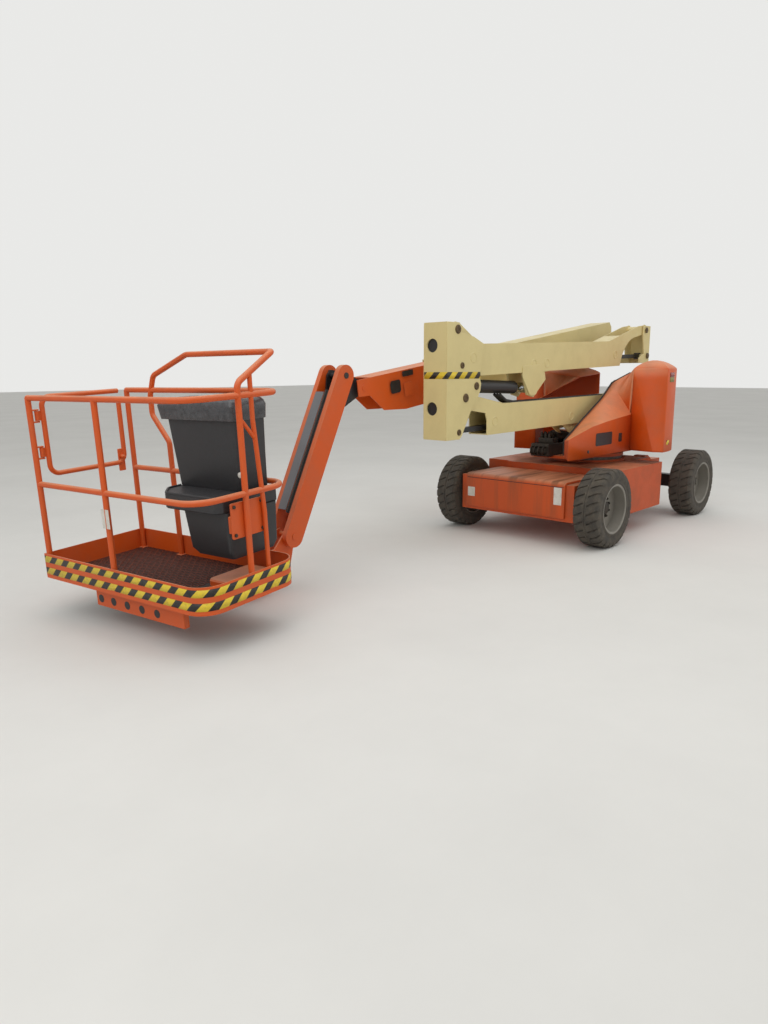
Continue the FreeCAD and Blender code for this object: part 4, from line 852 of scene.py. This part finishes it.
# %% Control console
# each level: height, low corner, high corner, corner radius
TUB = [(794, (352, -24), (593, 491), 22), (800, (350, -27), (596, 494), 26),
       (1000, (350, -59), (598, 498), 28), (1206, (350, -92), (600, 506), 30)]
LID = [(1203, (345, -128), (620, 512), 26), (1209, (342, -131), (623, 515), 30),
       (1285, (342, -143), (634, 523), 32), (1310, (346, -134), (626, 514), 34),
       (1322, (354, -122), (612, 500), 34), (1325, (362, -114), (604, 492), 30)]
FOOT = [(430, (392, 241), (728, 547), 18), (436, (390, 239), (730, 549), 22),
        (470, (370, 214), (752, 558), 22), (706, (360, 184), (764, 560), 22)]
PEDESTAL = [(225.5, (345, 265), (700, 606), 36), (254, (345, 265), (700, 606), 36),
            (264, (352, 272), (693, 599), 30)]
SHELF = [(350, -21), (600, -21), (705, -13), (815, 99), (815, 509), (775, 549), (350, 549)]
SHELF_CORNERS = [6, 90, 60, 60, 20, 20, 6]
TRAY_RIM = [(600, -15), (702, -7), (808, 102), (808, 506), (772, 542), (600, 542)]
TRAY_RIM_HEIGHT, BRACKET_FACE = 797.0, 619


def stack(levels):
    """A skin over rounded rectangles, from the lowest to the highest."""
    return skin(np.array([level(bend(rectangle(low, high), radius, closed=True), z)
                          for z, low, high, radius in levels]))


shelf = plate(SHELF, 705, 795, across="z", bevel=6, radius=SHELF_CORNERS)
tray_rim = tube(bend(level(TRAY_RIM, TRAY_RIM_HEIGHT), [60, 60, 20, 20], steps=5), 8)
bracket = [plate(rectangle((535, 568), (786, 773)), 608, BRACKET_FACE, radius=10),
           plate(rectangle((560, 590), (760, 690)), 560, 609, radius=6)]
bolts = [turned([(11, 0), (11, 7), (8, 9), (2, 9)], (u, BRACKET_FACE, z), sides=6)
         for u in (556, 765) for z in (590, 751)]
knob = turned([(17, 0), (19, 6), (16, 22), (4, 26)], (599, 534, 900), axis="x", sides=28)
post_sign = plate(rectangle((-185, 605), (-115, 721)), 1054, 1056, across="x", bevel=0.5, radius=4)
told(put("control_console_moulding", [stack(TUB), stack(FOOT), shelf, tray_rim], PLASTIC, "platform",
         ON_PLATFORM, replaces=["control_console"]),
     put("console_pedestal", [stack(PEDESTAL)], ORANGE, "platform", ON_PLATFORM),
     put("control_console_lid", [stack(LID)], FILM, "platform", ON_PLATFORM),
     put("console_bracket", bracket, ORANGE, "platform", ON_PLATFORM),
     put("console_bracket_bolts", bolts, GREASED, "platform", ON_PLATFORM),
     put("console_knob", [knob], BLANK_WHITE, "platform", ON_PLATFORM),
     put("post_blank_plate", [post_sign], BLANK_WHITE, "platform", ON_PLATFORM))

# %% [markdown]
# ## Warning tape
# Warning tape runs round the toe board and across the upright. Its stripes lean at 45 degrees to
# the tape's own length, so they can't come from the object's coordinates, which don't follow a
# corner. Each tape carries its own UV map: the distance along it, and the height, both in metres.

# %% Warning tape
TAPE_DEPTH = 0.0006
TOE_SIDE = np.array([(1063.8, -858), (1063.8, 659.8), (302.2, 659.8), (302.2, 330)])
UPRIGHT_SIDE = [(2570.8, -18), (2570.8, 206.6), (2145, 206.6)]
TOE_CORNER, UPRIGHT_CORNER, DRUM_CORNER = 140, 6, 300


def tape(name, path, low, high, body, seat_at, corners, shift=0.0, finish=TAPE):
    """A ribbon: a path in plan carried up from low to high. U is the length so far, V the height."""
    line = bend(path, corners, steps=12)
    length = np.concatenate([[0], np.cumsum(np.linalg.norm(np.diff(line, axis=0), axis=1))])
    points = np.vstack([level(line, z) for z in (low, high)])
    mesh = bpy.data.meshes.new(name)
    mesh.from_pydata(seat_at(points).tolist(), [], quads(2, len(line)))
    place_of = np.column_stack([np.tile(length + shift, 2), points[:, 2]]) / 1000
    corner_of = np.empty(len(mesh.loops), np.int32)
    mesh.loops.foreach_get("vertex_index", corner_of)
    mesh.uv_layers.new(name="UVMap").data.foreach_set("uv", place_of[corner_of].ravel())
    mesh.shade_smooth()
    mesh.materials.append(finish)
    made = bpy.data.objects.new(name, mesh)
    bpy.context.collection.objects.link(made)
    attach(made, body)
    told(thicken(made, TAPE_DEPTH, offset=0))


def round_drum(first, last, count, radius):
    """A line on the hood's drum between two angles, in degrees."""
    turn = np.radians(np.linspace(first, last, count))
    return np.column_stack([-DRUM_BACK + radius * np.cos(turn), radius * np.sin(turn)])


tape("toe_tape_high", TOE_SIDE, 305, 348, "platform", ON_PLATFORM, TOE_CORNER)
tape("toe_tape_low", TOE_SIDE, 226, 272, "platform", ON_PLATFORM, TOE_CORNER, shift=30)
tape("upright_tape", UPRIGHT_SIDE, 1489, 1540, "mid_upright", ON_MACHINE, UPRIGHT_CORNER, shift=12)
tape("hood_tape", round_drum(91.5, 96.5, 4, DRUM_RADIUS + 1), 828, 872, "hood_left", ON_MACHINE, DRUM_CORNER)
mark = round_drum(90.5, 99, 5, DRUM_RADIUS + 1.2)
tape("hood_reflector_red", mark, 1478, 1522, "hood_left", ON_MACHINE, DRUM_CORNER, finish=REFLECTOR)
tape("hood_reflector_olive", mark, 1432, 1477, "hood_left", ON_MACHINE, DRUM_CORNER, finish=OLIVE)

# %% [markdown]
# ## The platform's open floor
# The floor is expanded metal: a sheet slit and stretched into diamonds. Each strand is a zigzag
# ribbon, and neighbours lean opposite ways, so that they touch at their peaks. The outer strands
# are shorter, to stay within the toe board's round corners.

# %% Expanded metal
STRANDS, STRAND_POINTS, DIAMOND = 42, 27, 26.0
MESH_RIGHT, MESH_BACK, MESH_AHEAD = -830, 313, 1050
CORNER_FROM, CORNER_RADIUS, CORNER_LAST = 519, 130, 126.0
STRAND = np.array([(-2.2, 225.4), (2.2, 225.4), (2.2, 228.6), (-2.2, 228.6)])


def zigzag(row):
    """A flat bar carried along a zigzag: its middle line swings to and fro by half a diamond. Past
    the corner's start it is shorter by the radius less the root of radius² less distance²."""
    middle = MESH_RIGHT + row * DIAMOND
    cut = min(max(0.0, middle + 8 - CORNER_FROM), CORNER_LAST)
    inset = CORNER_RADIUS - math.sqrt(CORNER_RADIUS ** 2 - cut ** 2)
    u = np.linspace(MESH_BACK + inset, MESH_AHEAD - inset, STRAND_POINTS)
    swing = DIAMOND / 2 * np.where((np.arange(STRAND_POINTS) + row) % 2, 0.46, -0.46)
    lines = [level(np.column_stack([u, middle + swing + across]), z) for across, z in STRAND]
    return skin(np.stack(lines, 1))


strands = [zigzag(row) for row in range(STRANDS)]
told(put("platform_mesh", strands, MESH_PAINT, "platform", ON_PLATFORM, smooth=20))

# %% [markdown]
# ## Hoses and valves
# Oil reaches the tower's cylinder through pipes clipped along its barrel. A valve block with its
# solenoids and a motor sits in the open turntable, and hoses run along inside the lower boom. Hoses
# and pipes are tubes on bent paths, the block is thick plates, and the rest is turned.

# %% Hoses and valves
BARREL_LINE = np.array([(2150, 62, 1444), (1980, 52, 1448), (1720, 50, 1412), (1560, 56, 1392)], float)
BOOM_LINE = np.array([(-40, 0, 1296), (500, 0, 1291), (1100, 0, 1284), (1560, 0, 1280), (1700, 0, 1300),
                      (1790, 0, 1352)], float)
MOTOR = [(20, -12), (52, -12), (60, -4), (60, 210), (54, 216), (30, 216), (30, 240), (4, 240)]
SOLENOID = [(17, 0), (17, 40), (9, 42), (9, 56), (2, 58)]
pipes = [tube(bend(BARREL_LINE + (0, aside, up), 60), 9) for aside, up in ((-14, 6), (-16, 30))]
valves = [plate(rectangle((150, 708), (650, 834)), -232, -28, radius=8, bevel=4),
          plate(rectangle((440, 834), (540, 884)), -215, -50, radius=4, bevel=3)]
valves += [turned(SOLENOID, (x, y, 884), axis="z", sides=20) for x in (465, 515) for y in (-190, -145, -100)]
valves += [turned(MOTOR, (182, -130, 896), axis="x")]
valves += [tube(bend([(648, y, 800), (690, y, 802), (698, y, 744), (652, y - 10, 728)], 22), 9)
           for y in (-205, -165, -120, -70)]
hoses = [tube(bend(BOOM_LINE + (0, y, 0), 90), 13) for y in (100, 128, 156)]
told(put("cylinder_pipes", pipes, RUBBER_TRIM, "tower_cylinder_barrel", ON_MACHINE),
     put("valve_block", valves, GREASED, "turntable", ON_MACHINE),
     put("lower_boom_hoses", hoses, RUBBER_TRIM, "lower_boom", ON_MACHINE))

# %% [markdown]
# ## The end cover, tail and gusset
# The cover over the drive end is pressed sheet with a soft upper edge, a sealing strip and two
# blank plates. Two skirts close the tail, and a gusset stiffens the upper boom. All are outlines
# given a thickness, each with its own corner radii.

# %% End cover, tail and gusset
COVER = [(1298, 256), (1298, 580), (712, 580), (712, 556.5), (1271, 556.5), (1271, 256)]
SKIRT = [(-555, 650), (-640, 650), (-925, 478), (-925, 330), (-555, 330)]
BOOM_GUSSET = [(1190, 1600), (1500, 1590), (1500, 1500), (1375, 1335), (1270, 1335), (1190, 1480)]
cover = plate(COVER, -541, 526, bevel=3, radius=[4, 42, 6, 1, 1, 2])
skirts = [plate(SKIRT, *faces, radius=8) for faces in ((301, 425), (-425, -301))]
gusset = plate(BOOM_GUSSET, BOOM_FACE, BOOM_FACE + 6, radius=[30, 30, 60, 45, 45, 60])
seal = plate(rectangle((-530, 534), (515, 539)), 1290, 1300, across="x", bevel=1)
cover_signs = [plate(rectangle(*corners), 1298, 1300, across="x", bevel=0.5, radius=6)
               for corners in (((-522, 354), (-440, 443)), ((420, 375), (498, 531)))]
told(put("drive_end_cover_pressed", [cover], STREAKED, "chassis", ON_MACHINE, replaces=["drive_end_cover"]),
     put("tail_skirts", skirts, CHASSIS, "chassis", ON_MACHINE),
     put("upper_boom_gusset_plate", [gusset], CREAM, "upper_boom", ON_MACHINE),
     put("cover_seal", [seal], RUBBER_TRIM, "chassis", ON_MACHINE),
     put("cover_blank_plates", cover_signs, BLANK_WHITE, "chassis", ON_MACHINE))

# %% [markdown]
# ## The jib's tray, the mount's channel and the fly's windows
# A hose lies in a tray along the jib, beside a grey cover plate. A folded channel with a row of
# holes carries the platform's front, and the fly boom's end has two dark windows. The holes and
# windows are thin dark shapes on the surface, painted shade for the dark insides of the openings:
# at their size the eye reads them as openings. One more thin plate covers a hole of the CAD fly
# that isn't where the real window is.

# %% Jib tray, mount channel and fly windows
CHANNEL_FACE, FLY_FACE = 1001, 108.4
tray = [plate(rectangle((150, 25), (1090, 66)), 60, 79.5, across="z", bevel=1, radius=4),
        tube([(150, 45, 82), (600, 45, 83), (1090, 45, 82)], 8)]
jib_cover = plate(rectangle((165, -66), (1075, 22)), 78.2, 83, across="z", bevel=1.5, radius=8)
channel = plate(rectangle((-430, 70), (395, 172)), CHANNEL_FACE - 40, CHANNEL_FACE, across="x",
                bevel=3, radius=6)
# dark discs on the channel's face: painted shade standing for its holes
holes = [turned([(26, 0), (26, 1.4), (3, 1.5)], (CHANNEL_FACE - 0.5, v, 120), axis="x", sides=28)
         for v in (-380, -255, -120, 20, 160)]
# dark plates on the fly's side: painted shade standing for its windows
windows = [plate(rectangle((3532, -8), (3650, 92)), FLY_FACE, 110, bevel=0.4, radius=22),
           plate(rectangle((3370, 104), (3500, 148)), FLY_FACE, 110, bevel=0.4, radius=10)]
patch = plate(rectangle((3386, -54), (3494, 54)), 108.3, 109.9, bevel=0.4, radius=16)
told(put("jib_hose_tray", tray, RUBBER_TRIM, "jib", ON_JIB),
     put("jib_cover_plate", [jib_cover], DARK_GREY, "jib", ON_JIB),
     put("mount_front_channel", [channel], ORANGE, "platform", ON_PLATFORM),
     put("mount_channel_hole_shade", holes, BLACK_PLATE_AND_HOLE_SHADE, "platform", ON_PLATFORM),
     put("fly_window_shade", windows, BLACK_PLATE_AND_HOLE_SHADE, "fly_boom", ON_BOOM),
     put("fly_side_patch", [patch], ORANGE, "fly_boom", ON_BOOM))
